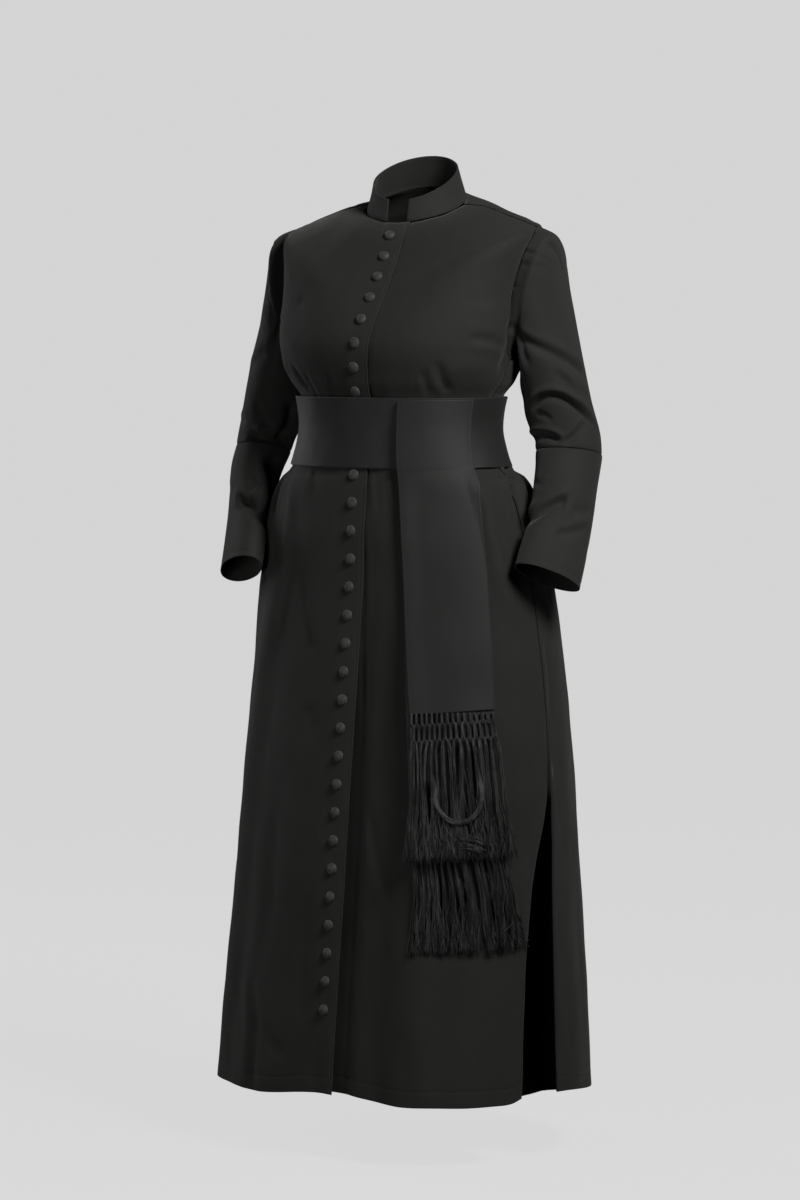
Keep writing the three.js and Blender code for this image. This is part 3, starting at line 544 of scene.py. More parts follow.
def creased(piece, angle, height, radius):
    """How far the creases of a piece move its cloth out, at arrays of angles and heights."""
    angle, height = np.broadcast_arrays(angle, height)
    sheet = on_sheet(angle, height, radius)
    out = np.zeros(angle.shape)
    for name, a0, h0, a1, h1, a2, h2, width, ridge, trough, beside in CREASES:
        if name != piece:
            continue
        ends = on_sheet(np.array([a0, a1, a2], float), np.array([h0, h1, h2], float), radius)
        start, finish = ends[0], ends[2]
        bend = 2 * ends[1] - (start + finish) / 2
        reach = CREASE_REACH * width + abs(beside)
        low, high = np.minimum(start, finish), np.maximum(start, finish)
        low, high = np.minimum(low, ends[1]) - reach, np.maximum(high, ends[1]) + reach
        near = ((sheet > low) & (sheet < high)).all(-1)
        if not near.any():
            continue
        t = np.linspace(0, 1, CREASE_STEPS)[:, None]
        line = bent_line(start, bend, finish, t)
        spot = sheet[near]
        t = t[((spot[:, None, :] - line[None]) ** 2).sum(-1).argmin(1)]
        for _ in range(2):
            # the nearest place on the curve, closed in on from the nearest of its steps
            line = bent_line(start, bend, finish, t)
            pull = bent_pull(start, bend, finish, t)
            step = ((spot - line) * pull).sum(-1, keepdims=True) / (pull ** 2).sum(-1, keepdims=True)
            t = clamp01(t + step.clip(-CLOSING_IN, CLOSING_IN))
        off = spot - bent_line(start, bend, finish, t)
        onward = unit(bent_pull(start, bend, finish, t))
        signed = onward[:, 0] * off[:, 1] - onward[:, 1] * off[:, 0]
        along = t[:, 0]
        fade = smooth(along / CREASE_END) * smooth((1 - along) / CREASE_END)
        out[near] += fade * (ridge * bell(signed, width) - trough * bell(signed - beside, width))
    return out


# The cloth is never quite even: long, low waves of a few lengths cross it.
WAVES = (
    # length across and down, start, size
    (131, 420, 0.4, 0.45),
    (87, -310, 2.1, 0.3),
    (54, 190, 4.4, 0.16),
    (230, 95, 1.3, 0.2),
    (39, -120, 3.0, 0.09),
    (23, 71, 5.2, 0.05),
)


def uneven(angle, height, radius):
    sheet = on_sheet(angle, height, radius)
    out = 0
    for across, down, start, size in WAVES:
        out = out + size * np.sin(2 * math.pi * (sheet[..., 0] / across + sheet[..., 1] / down) + start)
    return out


# ------------------------------------------------------------------ making meshes
RIM = 0.3                           # how far a wall's rounded edge stands out, of its thickness


def new_object(name, points, faces, uv):
    """An object from points in mm and faces, with each face corner's place on the flat cloth."""
    mesh = bpy.data.meshes.new(name)
    mesh.from_pydata((np.asarray(points) * MM).tolist(), [], faces)
    layer = mesh.uv_layers.new(name="cloth")
    layer.data.foreach_set("uv", (uv.astype(np.float32) * MM).ravel())
    mesh.polygons.foreach_set("use_smooth", np.full(len(mesh.polygons), True))
    mesh.update()
    piece = bpy.data.objects.new(name, mesh)
    bpy.context.collection.objects.link(piece)
    return piece


def grid_normals(grid, closed=False):
    down = np.gradient(grid, axis=0)
    across = (np.roll(grid, -1, 1) - np.roll(grid, 1, 1)) if closed else np.gradient(grid, axis=1)
    return unit(np.cross(down, across))


def running(steps, axis):
    """Distances run along an axis, from zero."""
    lengths = np.linalg.norm(np.diff(steps, axis=axis), axis=-1)
    zero = np.zeros_like(np.take(lengths, [0], axis))
    return np.concatenate([zero, np.cumsum(lengths, axis)], axis)


def padded_edges(grid, normal, thickness, closed):
    """The grid with one more row and column at each open edge, at half the wall's depth."""
    half_deep = grid - normal * thickness / 2
    top = half_deep[:1] + unit(grid[:1] - grid[1:2]) * thickness * RIM
    foot = half_deep[-1:] + unit(grid[-1:] - grid[-2:-1]) * thickness * RIM
    rows = np.concatenate([top, grid, foot])
    if closed:
        return rows
    middle = np.concatenate([top, half_deep, foot])
    left = middle[:, :1] + unit(rows[:, :1] - rows[:, 1:2]) * thickness * RIM
    right = middle[:, -1:] + unit(rows[:, -1:] - rows[:, -2:-1]) * thickness * RIM
    return np.concatenate([left, rows, right], 1)


def wall(name, grid, thickness, closed=False):
    """A cloth wall from its outer face: rows go down and columns to the wearer's left."""
    normal = grid_normals(grid, closed)
    outer = padded_edges(grid, normal, thickness, closed)
    inner = grid - normal * thickness
    rows, columns = outer.shape[:2]
    side = 0 if closed else 1
    outer_index = np.arange(rows * columns).reshape(rows, columns)
    inner_index = outer_index.copy()
    inner_own = np.arange(inner[..., 0].size).reshape(inner.shape[:2])
    inner_index[1:-1, side:columns - side] = rows * columns + inner_own
    points = np.concatenate([outer.reshape(-1, 3), inner.reshape(-1, 3)])
    lap = np.concatenate([outer, outer[:, :1]], 1) if closed else outer
    across, down = running(lap, 1), -running(lap, 0)
    place = np.stack([across, down], -1)
    faces, corners = [], []
    for index, flip in ((outer_index, False), (inner_index, True)):
        turn = np.concatenate([index, index[:, :1]], 1) if closed else index
        for values, kept in ((turn, faces), (place, corners)):
            cell = [values[:-1, :-1], values[1:, :-1], values[1:, 1:], values[:-1, 1:]]
            cell = np.stack(cell[::-1] if flip else cell, 2)
            kept.append(cell.reshape((-1, 4) + values.shape[2:]))
    return new_object(name, points, np.concatenate(faces).tolist(), np.concatenate(corners))


ASKEW = np.array([0.31, -0.83, 0.46])   # a way that no thread runs
THREAD_ROUND = 2.0                  # the flat width of one side of a thread


def tubes(name, lines, sizes, sides):
    """Round threads as one mesh. lines is (threads, points, 3) and sizes their radii, in mm."""
    lines = np.asarray(lines, float)
    count, steps = lines.shape[:2]
    sizes = np.broadcast_to(np.asarray(sizes, float), (count, steps))
    tangent = unit(np.gradient(lines, axis=1))
    aside = unit(np.cross(tangent, ASKEW))
    third = np.cross(tangent, aside)
    a = np.linspace(0, 2 * math.pi, sides, endpoint=False)
    ring = aside[:, :, None] * np.cos(a)[:, None] + third[:, :, None] * np.sin(a)[:, None]
    points = lines[:, :, None] + ring * sizes[..., None, None]
    index = np.arange(count * steps * sides).reshape(count, steps, sides)
    turned = np.roll(index, -1, 2)
    cell = np.stack([index[:, :-1], turned[:, :-1], turned[:, 1:], index[:, 1:]], -1).reshape(-1, 4)
    faces = cell.tolist()
    for end, order in ((0, slice(None, None, -1)), (-1, slice(None))):
        faces += index[:, end, order].tolist()
    run = running(lines, 1)
    around = np.arange(sides + 1) * THREAD_ROUND
    u = np.broadcast_to(around, (count, steps, sides + 1))
    v = np.broadcast_to(run[..., None], (count, steps, sides + 1))
    place = np.stack([u, v], -1)
    cell = np.stack([place[:, :-1, :-1], place[:, :-1, 1:], place[:, 1:, 1:], place[:, 1:, :-1]], -2)
    uv = [cell.reshape(-1, 2)]
    for end in (0, -1):
        uv.append(place[:, end, :-1].reshape(-1, 2))
    return new_object(name, points.reshape(-1, 3), faces, np.concatenate(uv))


def along_line(line, normals, start, step):
    """Points and normals an equal distance apart along a line of points."""
    run = running(line, 0)
    at = np.arange(start, run[-1] - start, step)
    spot = np.stack([np.interp(at, run, line[:, i]) for i in range(3)], -1)
    out = unit(np.stack([np.interp(at, run, normals[:, i]) for i in range(3)], -1))
    return spot, out


STITCH_PITCH = 3.2
STITCH_LENGTH = 2.3
STITCH_RADIUS = 0.28
STITCH_SINK = 0.25
STITCH_POINTS = 5


def stitch_lines(line, normals):
    """Each stitch as a few points: it dips into the cloth at both ends."""
    starts, out = along_line(line, normals, STITCH_PITCH, STITCH_PITCH)
    onward = unit(np.gradient(starts, axis=0))
    share = np.linspace(0, 1, STITCH_POINTS)[None, :, None]
    bow = np.sin(share * math.pi) * (STITCH_SINK + STITCH_RADIUS) - STITCH_SINK
    return starts[:, None] + onward[:, None] * share * STITCH_LENGTH + out[:, None] * bow


# ------------------------------------------------------------------ materials
WORSTED_DARK = (0.0106, 0.0106, 0.0098)
WORSTED_LIGHT = (0.0262, 0.0262, 0.0246)
FAILLE_DARK = (0.009, 0.009, 0.0086)
FAILLE_LIGHT = (0.0225, 0.0225, 0.0217)
THREAD_DARK = (0.0018, 0.0018, 0.0017)
THREAD_LIGHT = (0.047, 0.047, 0.0455)
LOOP_DARK = (0.008, 0.008, 0.0078)
LOOP_LIGHT = (0.029, 0.029, 0.0282)
BUTTON_DARK = (0.026, 0.026, 0.025)
BUTTON_LIGHT = (0.062, 0.062, 0.06)

# pitches and depths of the weaves, in metres
TWILL_PITCH = 0.0011
TWILL_SLANT = 0.55                  # across for each of down
TWILL_DEEP = 0.00012
YARN_PITCH = 0.0007
RIB_PITCH = 0.0014
RIB_DEEP = 0.00014
SATIN_DEEP = 0.00008
FRINGE_TWIST = 0.0016
SEWING_TWIST = 0.0009
LOOP_TWIST = 0.0013
TWIST_ROUND = 0.01                  # the flat width all round a thread
TWIST_DEEP = 0.00012
STREAKED = (420, 420, 34)           # streaks are fine across a fringe and long down it
STREAK_MIDDLE = 2.65
NOISE_ROUGH = 0.55

WARM_SHEEN = (0.8, 0.8, 0.77, 1)
EVEN_SHEEN = (0.8, 0.8, 0.78, 1)
PALE_SHEEN = (0.85, 0.85, 0.82, 1)


def material(name):
    made = bpy.data.materials.new(name)
    made.use_nodes = True
    nodes = made.node_tree.nodes
    shader = nodes["Principled BSDF"]
    return made, nodes, made.node_tree.links, shader


def add(nodes, kind, **values):
    node = nodes.new(kind)
    for key, value in values.items():
        if key.startswith("in_"):
            node.inputs[key[3:].replace("_", " ")].default_value = value
        else:
            setattr(node, key, value)
    return node


def maths(nodes, links, operation, a, b=None):
    node = add(nodes, "ShaderNodeMath", operation=operation)
    for socket, value in zip(node.inputs, (a, b)):
        if value is None:
            continue
        if isinstance(value, (int, float)):
            socket.default_value = value
        else:
            links.new(value, socket)
    return node.outputs[0]


def plus(nodes, links, a, b, share=1.0):
    """One value and a share of another."""
    return maths(nodes, links, "ADD", a, maths(nodes, links, "MULTIPLY", b, share))


def set_shader(shader, roughness, sheen, sheen_rough, specular, sheen_tint):
    for name, value in (("Metallic", 0), ("Roughness", roughness), ("Specular IOR Level", specular),
                        ("Sheen Weight", sheen), ("Sheen Roughness", sheen_rough),
                        ("Sheen Tint", sheen_tint)):
        shader.inputs[name].default_value = value


def tinted(nodes, links, factor, dark, light):
    mix = add(nodes, "ShaderNodeMix", data_type="RGBA")
    links.new(factor, mix.inputs[0])
    mix.inputs[6].default_value = (*dark, 1)
    mix.inputs[7].default_value = (*light, 1)
    return mix.outputs[2]


def flat_place(nodes, links):
    uv = add(nodes, "ShaderNodeUVMap", uv_map="cloth")
    parts = add(nodes, "ShaderNodeSeparateXYZ")
    links.new(uv.outputs[0], parts.inputs[0])
    return uv.outputs[0], parts.outputs[0], parts.outputs[1]


def ripple(nodes, links, value, pitch):
    """Waves of a pitch, from nothing to one."""
    turned = maths(nodes, links, "MULTIPLY", value, 2 * math.pi / pitch)
    node = add(nodes, "ShaderNodeMath", operation="MULTIPLY_ADD")
    links.new(maths(nodes, links, "SINE", turned), node.inputs[0])
    node.inputs[1].default_value = 0.5
    node.inputs[2].default_value = 0.5
    return node.outputs[0]


def noise_of(nodes, links, coords, scale, detail=2.0):
    node = add(nodes, "ShaderNodeTexNoise", in_Scale=scale, in_Detail=detail, in_Roughness=NOISE_ROUGH)
    links.new(coords, node.inputs["Vector"])
    return node.outputs["Fac"]


def bumped(nodes, links, shader, height, distance, strength):
    bump = add(nodes, "ShaderNodeBump", in_Strength=strength, in_Distance=distance)
    links.new(height, bump.inputs["Height"])
    links.new(bump.outputs[0], shader.inputs["Normal"])


def worsted_cloth():
    """Black worsted: a fine steep twill, with slubs and a soft bloom where it has been pressed."""
    made, nodes, links, shader = material("black_worsted")
    place, across, down = flat_place(nodes, links)
    twill = ripple(nodes, links, plus(nodes, links, across, down, TWILL_SLANT), TWILL_PITCH)
    yarn = ripple(nodes, links, down, YARN_PITCH)
    weave = plus(nodes, links, twill, yarn, 0.4)
    slub = noise_of(nodes, links, place, scale=900)
    bumped(nodes, links, shader, plus(nodes, links, weave, slub, 1.4), TWILL_DEEP, strength=0.6)
    body = add(nodes, "ShaderNodeTexCoord").outputs["Object"]
    bloom = noise_of(nodes, links, body, scale=7, detail=3.0)
    mottle = noise_of(nodes, links, body, scale=60, detail=3.0)
    tone = plus(nodes, links, maths(nodes, links, "MULTIPLY", bloom, 0.5), mottle, 0.25)
    tone = plus(nodes, links, tone, weave, 0.18)
    links.new(tinted(nodes, links, tone, WORSTED_DARK, WORSTED_LIGHT), shader.inputs["Base Color"])
    set_shader(shader, roughness=0.78, sheen=0.12, sheen_rough=0.5, specular=0.22,
               sheen_tint=WARM_SHEEN)
    return made


def faille_cloth():
    """Black faille: fine ribs across the sash, a little brighter than the coat."""
    made, nodes, links, shader = material("black_faille")
    place, across, down = flat_place(nodes, links)
    rib = ripple(nodes, links, down, RIB_PITCH)
    warp = ripple(nodes, links, across, YARN_PITCH)
    thick = noise_of(nodes, links, place, scale=420)
    height = plus(nodes, links, plus(nodes, links, rib, warp, 0.3), thick, 0.8)
    bumped(nodes, links, shader, height, RIB_DEEP, strength=0.7)
    body = add(nodes, "ShaderNodeTexCoord").outputs["Object"]
    bloom = noise_of(nodes, links, body, scale=12, detail=3.0)
    tone = plus(nodes, links, maths(nodes, links, "MULTIPLY", bloom, 0.6), rib, 0.25)
    links.new(tinted(nodes, links, tone, FAILLE_DARK, FAILLE_LIGHT), shader.inputs["Base Color"])
    set_shader(shader, roughness=0.62, sheen=0.14, sheen_rough=0.4, specular=0.32,
               sheen_tint=EVEN_SHEEN)
    return made


def thread_stuff(name, dark, light, twist):
    """Twisted silky thread: its turns show as slanting ridges along it."""
    made, nodes, links, shader = material(name)
    _, around, along = flat_place(nodes, links)
    turns = ripple(nodes, links, plus(nodes, links, along, around, twist / TWIST_ROUND), twist)
    bumped(nodes, links, shader, turns, TWIST_DEEP, strength=0.7)
    body = add(nodes, "ShaderNodeTexCoord").outputs["Object"]
    drawn = add(nodes, "ShaderNodeMapping", in_Scale=STREAKED)
    links.new(body, drawn.inputs[0])
    streak = noise_of(nodes, links, drawn.outputs[0], scale=1)
    clump = noise_of(nodes, links, drawn.outputs[0], scale=0.33, detail=1.0)
    streak = maths(nodes, links, "MULTIPLY", maths(nodes, links, "ADD", streak, clump), 3.0)
    tone = plus(nodes, links, maths(nodes, links, "SUBTRACT", streak, STREAK_MIDDLE), turns, 0.2)
    links.new(tinted(nodes, links, tone, dark, light), shader.inputs["Base Color"])
    set_shader(shader, roughness=0.46, sheen=0.1, sheen_rough=0.4, specular=0.45,
               sheen_tint=EVEN_SHEEN)
    return made


def button_cloth():
    """Satin-faced cloth drawn tight over a domed mould."""
    made, nodes, links, shader = material("black_button_cloth")
    body = add(nodes, "ShaderNodeTexCoord").outputs["Object"]
    parts = add(nodes, "ShaderNodeSeparateXYZ")
    links.new(body, parts.inputs[0])
    one = ripple(nodes, links, parts.outputs[0], YARN_PITCH)
    other = ripple(nodes, links, parts.outputs[2], YARN_PITCH)
    weave = maths(nodes, links, "ADD", one, other)
    slub = noise_of(nodes, links, body, scale=1100)
    bumped(nodes, links, shader, maths(nodes, links, "ADD", weave, slub), SATIN_DEEP, strength=0.5)
    cloud = noise_of(nodes, links, body, scale=130)
    links.new(tinted(nodes, links, cloud, BUTTON_DARK, BUTTON_LIGHT), shader.inputs["Base Color"])
    set_shader(shader, roughness=0.58, sheen=0.3, sheen_rough=0.4, specular=0.3,
               sheen_tint=PALE_SHEEN)
    return made


WORSTED = worsted_cloth()
FAILLE = faille_cloth()
FRINGE_THREAD = thread_stuff("black_fringe_thread", THREAD_DARK, THREAD_LIGHT, FRINGE_TWIST)
SEWING_THREAD = thread_stuff("black_sewing_thread", WORSTED_DARK, THREAD_LIGHT, SEWING_TWIST)
LOOP_THREAD = thread_stuff("black_loop_thread", LOOP_DARK, LOOP_LIGHT, LOOP_TWIST)
BUTTON_COVER = button_cloth()


def dressed(piece, stuff, slot, *nodes):
    piece.data.materials.append(stuff)
    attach(piece, "root")
    if nodes:
        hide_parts(*nodes)
    return piece


# ------------------------------------------------------------------ the coat's four panels
CLOTH_STEP = 5.9                    # between two rows or columns of points
HEM_DEPTH = 23
HEM_ROWS = (30, 26, 24.4, 23, 21.6, 18, 13, 8, 3.4, 1.2, 0)
EDGE_COLUMNS = (13, 8.5, 6, 4.5, 3, 1.2, 0)
EDGE_STITCH = 4.5
EDGE_TRIES = 14
FINE_STEPS = 3000
HOLE_FINE_STEPS = 300
BLOUSE = 8                          # how much fuller the bodice is at this height
BLOUSE_HEIGHT = -208
BLOUSE_REACH_UP = 68
BLOUSE_REACH_DOWN = 36
BLOUSE_SINK = 6                     # and how far it tucks in, just over the band's top
BLOUSE_SINK_HEIGHT = BAND_TOP - 4
BLOUSE_TUCK = 15
EDGE_LIFT = 5                       # the right front's edge stands off at the hem
EDGE_LIFT_REACH = 34
EDGE_LIFT_TOP = -840
EDGE_GROOVE = 2.4                   # the left front sinks along the right front's edge
EDGE_GROOVE_PLACE = 0.6
EDGE_GROOVE_REACH = 2.6
LAP_FALL = 27                       # and falls back beside it, more and more down the skirt
LAP_TOP = -460
LAP_SPAN = 420
LAP_REACH = 128
HEM_HEIGHT = -1320
SEAM_DIP = 0.9
SEAM_REACH = 2.4
STITCH_DIP = 0.45
STITCH_REACH = 1.1
ROW_ANGLE = 60
FOLD_RIDGE = 3.4                    # the front fold of each pleat swells before it turns in
FOLD_RIDGE_PLACE = 9
FOLD_RIDGE_REACH = 5.5
FOLD_RIDGE_FULL = 3                 # degrees of the pleat's half width
FOLD_HEM_TOP = -1225                # the folds' hems curve up a little and the floor hangs lower
FRONT_CORNER = (8, 13)
BACK_CORNER = (11, 85)
FLOOR_DROP = 13
SLOPE_START = 0.4                   # degrees past a pleat's mouth
SLOPE_COLUMNS = 17
FLOOR_COLUMNS = 3
FRONT_TURN_IN = 1.0                 # the back fold turns in sooner than the front one
BACK_TURN_IN = 0.6
LEAST_FLOOR = 0.05                  # degrees
UNDERCUT_START = 0.6                # degrees of the pleat's half width, from none to all
UNDERCUT_SPAN = 3.5


def even_places(angle, step, ends=()):
    """Places down the coat an equal distance apart, and closer near the hem."""
    fine = np.linspace(0, LOWEST, FINE_STEPS)
    run = running(outside(fine, angle), 0)
    last = run[-1] - (ends[0] if ends else 0)
    wanted = np.linspace(0, last, int(round(last / step)) + 1)
    wanted = np.concatenate([wanted[:-1], [run[-1] - e for e in ends]]) if ends else wanted
    return np.interp(wanted, run, fine)


def armhole_edge(height, front):
    turn = np.linspace(0, 0.5, HOLE_FINE_STEPS) + (0 if front else 0.5)
    angle, z = armhole_line(turn)
    order = np.argsort(z)
    return np.interp(height, z[order], angle[order])


def outer_edge(side, place, front):
    """The angle of a panel's outer edge: side seam, armhole and shoulder seam in turn."""
    angle = np.full(place.shape, SIDE_SEAM, float)
    meet = np.minimum if front else np.maximum
    for _ in range(EDGE_TRIES):
        height = outside(place, side * angle)[..., 2]
        seam = seam_angle(height)
        over_arm = (height > UNDERARM_HEIGHT) & (height < SHOULDER_HEIGHT)
        angle = np.where(over_arm, meet(seam, armhole_edge(height, front)), seam)
    return angle, height


ROWS = even_places(ROW_ANGLE, CLOTH_STEP, HEM_ROWS)


def panel_angles(side, front, inner_across):
    """Each row's angles across a panel."""
    edge, height = outer_edge(side, ROWS, front)
    way = -1 if front else 1
    gap = np.degrees(GAP / through(LEVEL["half"], ROWS))
    half = pleat_half_width(height)
    seam = edge + way * gap
    mouth = edge + way * (half + SLOPE_START)
    foot = mouth - way * (pleat_slope(height, front) + SLOPE_START)
    parts = [np.linspace(seam, foot, FLOOR_COLUMNS)[:-1], np.linspace(foot, mouth, SLOPE_COLUMNS)[:-1]]
    if front:
        fixed = [-angle_across(ROWS, inner_across - d) for d in EDGE_COLUMNS]
    else:
        fixed = [180 - np.degrees(d / through(LEVEL["aft"], ROWS)) for d in EDGE_COLUMNS[:-1]]
        fixed.append(180 - np.degrees(GAP / through(LEVEL["aft"], ROWS)))
    wide = through(LEVEL["half"], ROWS[-1]) * math.radians(abs(fixed[0][-1] - mouth[-1]))
    parts.append(np.linspace(mouth, fixed[0], int(wide / CLOTH_STEP))[:-1])
    angles = side * np.stack(np.concatenate([np.concatenate(parts), fixed]), 1)
    return angles if side < 0 else angles[:, ::-1]


def undercut(side, front, angles, height):
    """How far the pleat's folds and floor lie aside of its mouth, behind the back panel."""
    half = pleat_half_width(height)
    from_centre = abs(side * angles - seam_angle(height))
    spread = clamp01(from_centre / np.maximum(half - pleat_slope(height, front), LEAST_FLOOR))
    aside = PLEAT_SHIFT + PLEAT_SPREAD * spread * (-1 if front else 1)
    turn_in = pleat_share(angles, height) ** (FRONT_TURN_IN if front else BACK_TURN_IN)
    return side * aside * turn_in * smooth((half - UNDERCUT_START) / UNDERCUT_SPAN)


def seam_dip(distance):
    return SEAM_DIP * bell(distance, SEAM_REACH)


def stitch_dip(distance, stitched):
    """The cloth's dip under a line of stitches that runs a distance from an edge."""
    return STITCH_DIP * bell(distance - stitched, STITCH_REACH)


def seam_dips(grid, outer_first):
    """Cloth rolls into the seams at its outer edge and its top, and dips along its stitching."""
    from_left = running(grid, 1)
    from_right = from_left[:, -1:] - from_left
    outer, inner = (from_left, from_right) if outer_first else (from_right, from_left)
    from_top = running(grid, 0)
    from_foot = from_top[-1:] - from_top
    return seam_dip(outer) + seam_dip(from_top) + stitch_dip(from_foot, HEM_DEPTH), inner


def panel(name, side, front, inner_across):
    angles = panel_angles(side, front, inner_across)
    places = np.broadcast_to(ROWS[:, None], angles.shape)
    plain = outside(places, angles)
    height = plain[..., 2]
    dip, from_inner = seam_dips(plain, side < 0)
    out = creased("coat", angles, height, coat_radius) + uneven(angles, height, coat_radius) - dip
    reach = np.where(height > BLOUSE_HEIGHT, BLOUSE_REACH_UP, BLOUSE_REACH_DOWN)
    out = out + BLOUSE * bell(height - BLOUSE_HEIGHT, reach)
    out = out - BLOUSE_SINK * bell(height - BLOUSE_SINK_HEIGHT, BLOUSE_TUCK)
    half = pleat_half_width(height)
    before = np.radians(abs(abs(angles) - seam_angle(height)) - half) * coat_radius(height)
    if front:
        opened = smooth(half / FOLD_RIDGE_FULL)
        out = out + FOLD_RIDGE * opened * bell(before - FOLD_RIDGE_PLACE, FOLD_RIDGE_REACH)
    if name == "front_right":
        opened = smooth((EDGE_LIFT_TOP - height) / (EDGE_LIFT_TOP - HEM_HEIGHT))
        out = out + EDGE_LIFT * opened * smooth(1 - from_inner / EDGE_LIFT_REACH)
        out = out - stitch_dip(from_inner, EDGE_STITCH)
    if name == "front_left":
        edge = angle_across(places, BUTTON_LINE_TO_EDGE)
        reach = angle_across(places, BUTTON_LINE_TO_EDGE + UNDERLAP_EASE)
        out = out - (CLOTH + UNDERLAP_GAP) * (1 - smooth((angles - edge) / (reach - edge)))
        past_edge = np.radians(angles - edge) * coat_radius(height)
        out = out - EDGE_GROOVE * bell(past_edge - EDGE_GROOVE_PLACE, EDGE_GROOVE_REACH)
        fallen = smooth((LAP_TOP - height) / LAP_SPAN)
        out = out - LAP_FALL * fallen * smooth(1 - past_edge / LAP_REACH)
    if not front:
        out = out - seam_dip(from_inner)
    grid = offset(places, angles, out)
    turned = np.radians(angles)
    sideways = np.stack([np.cos(turned), np.sin(turned), np.zeros_like(turned)], -1)
    folded = np.where(height < PLEAT_TOP, undercut(side, front, angles, height), 0)
    grid = grid + sideways * folded[..., None]
    lift, reach = FRONT_CORNER if front else BACK_CORNER
    floor = pleat_share(angles, height)
    lift = lift * bell(before, reach) * (1 - floor) - FLOOR_DROP * floor
    grid[..., 2] += lift * smooth((FOLD_HEM_TOP - height) / (FOLD_HEM_TOP - HEM_HEIGHT))
    return dressed(wall(name + "_cloth", grid, CLOTH), WORSTED, "worsted", name), grid


PANELS = {}
for name, side, front, inner in (("front_right", -1, True, BUTTON_LINE_TO_EDGE),
                                 ("front_left", 1, True, UNDERLAP),
                                 ("back_left", 1, False, 0), ("back_right", -1, False, 0)):
    PANELS[name] = panel(name, side, front, inner)

# ------------------------------------------------------------------ collar
COLLAR_COLUMNS = ("name", "front", "side", "back", "half", "fore", "aft", "y")
COLLAR = (
    ("top", -2, 35, 66, 64, 62, 62, 0),
    ("middle", -17, 15, 44, 69, 68, 64, 3),
    ("seam", -33, -6, 21, 76, 75, 66, 6),
)
COLLAR_NOTCH = 17
COLLAR_CLOTH = 2.2
COLLAR_SEAM_GAP = 1.1
COLLAR_ROWS = (0, 0.02, 0.06, 0.1, 0.14, 0.2, 0.3, 0.4, 0.5, 0.6, 0.7, 0.8, 0.88, 0.94, 0.97, 1)
COLLAR_AROUND = 140
COLLAR_UNEVEN = 0.012               # share by which its columns are unevenly spread
COLLAR_WAVE = 0.5
COLLAR_RIPPLE = 0.3


def collar():
    table = named(COLLAR_COLUMNS, COLLAR)
    place = np.array(COLLAR_ROWS)[:, None] * (len(COLLAR) - 1)
    row = {column: through(table[column], place) for column in COLLAR_COLUMNS[1:]}
    end = np.degrees(np.arcsin(COLLAR_NOTCH / row["fore"]))
    share = np.linspace(0, 1, COLLAR_AROUND)
    share = share + COLLAR_UNEVEN * np.sin(2 * math.pi * share)
    a = np.radians(lerp(end, 360 - end, share))
    forward = np.cos(a)
    deep = np.where(forward > 0, row["fore"], row["aft"])
    radius = 1 / np.hypot(np.sin(a) / row["half"], forward / deep)
    radius = radius + COLLAR_WAVE * np.sin(3 * a + 1.1) * np.sin(place * 1.6)
    radius = radius + COLLAR_RIPPLE * np.sin(7 * a)
    height = ring_height(row["front"], row["side"], row["back"], forward) + COLLAR_SEAM_GAP
    grid = np.stack([radius * np.sin(a), row["y"] - radius * forward, height], -1)
    from_top = running(grid, 0)
    from_left = running(grid, 1)
    from_right = from_left[:, -1:] - from_left
    from_edge = np.minimum(np.minimum(from_left, from_right), from_top)
    dip = stitch_dip(from_edge, EDGE_STITCH) + seam_dip(from_top[-1:] - from_top)
    grid = grid - grid_normals(grid) * dip[..., None]
    return dressed(wall("collar_cloth", grid, COLLAR_CLOTH), WORSTED, "worsted", "collar")


COLLAR_PIECE = collar()

# ------------------------------------------------------------------ sleeves and cuffs
ARM_STEP = 2.9
ARM_AROUND = 156
ARM_START = -160                    # the turn where a sleeve's own seam runs, on its inner side
ARM_FINE_STEPS = 1200
ARM_RIM_ROWS = (1.2, 2.4, 3.6)
ARM_SEAM_FADE = 40                  # degrees
OTHER_SLEEVE_TURN = 77              # so that the two sleeves' waves differ
HEAD_SINK = 2.0                     # a sleeve's head sinks into its seam and swells past it
HEAD_SINK_REACH = 2.6
HEAD_SWELL = 1.1
HEAD_SWELL_PLACE = 9
HEAD_SWELL_REACH = 7
CUFF_TOP_STITCH = 5
CUFF_HEM_STITCH = 9


def even_rows(sections, step, ends):
    """Places down a tube's sections an equal distance apart, with rows of their own near its ends."""
    fine = np.linspace(0, len(sections) - 1, ARM_FINE_STEPS)
    middle = through([section.mean(0) for section in sections], fine)
    run = running(middle, 0)
    wanted = np.linspace(0, run[-1], int(run[-1] / step) + 1)
    wanted = np.unique(np.round(np.concatenate([wanted, ends, run[-1] - np.array(ends)]), 3))
    return np.interp(wanted, run, fine)


def arm_turns():
    return ARM_START + np.linspace(0, 360, ARM_AROUND, endpoint=False)


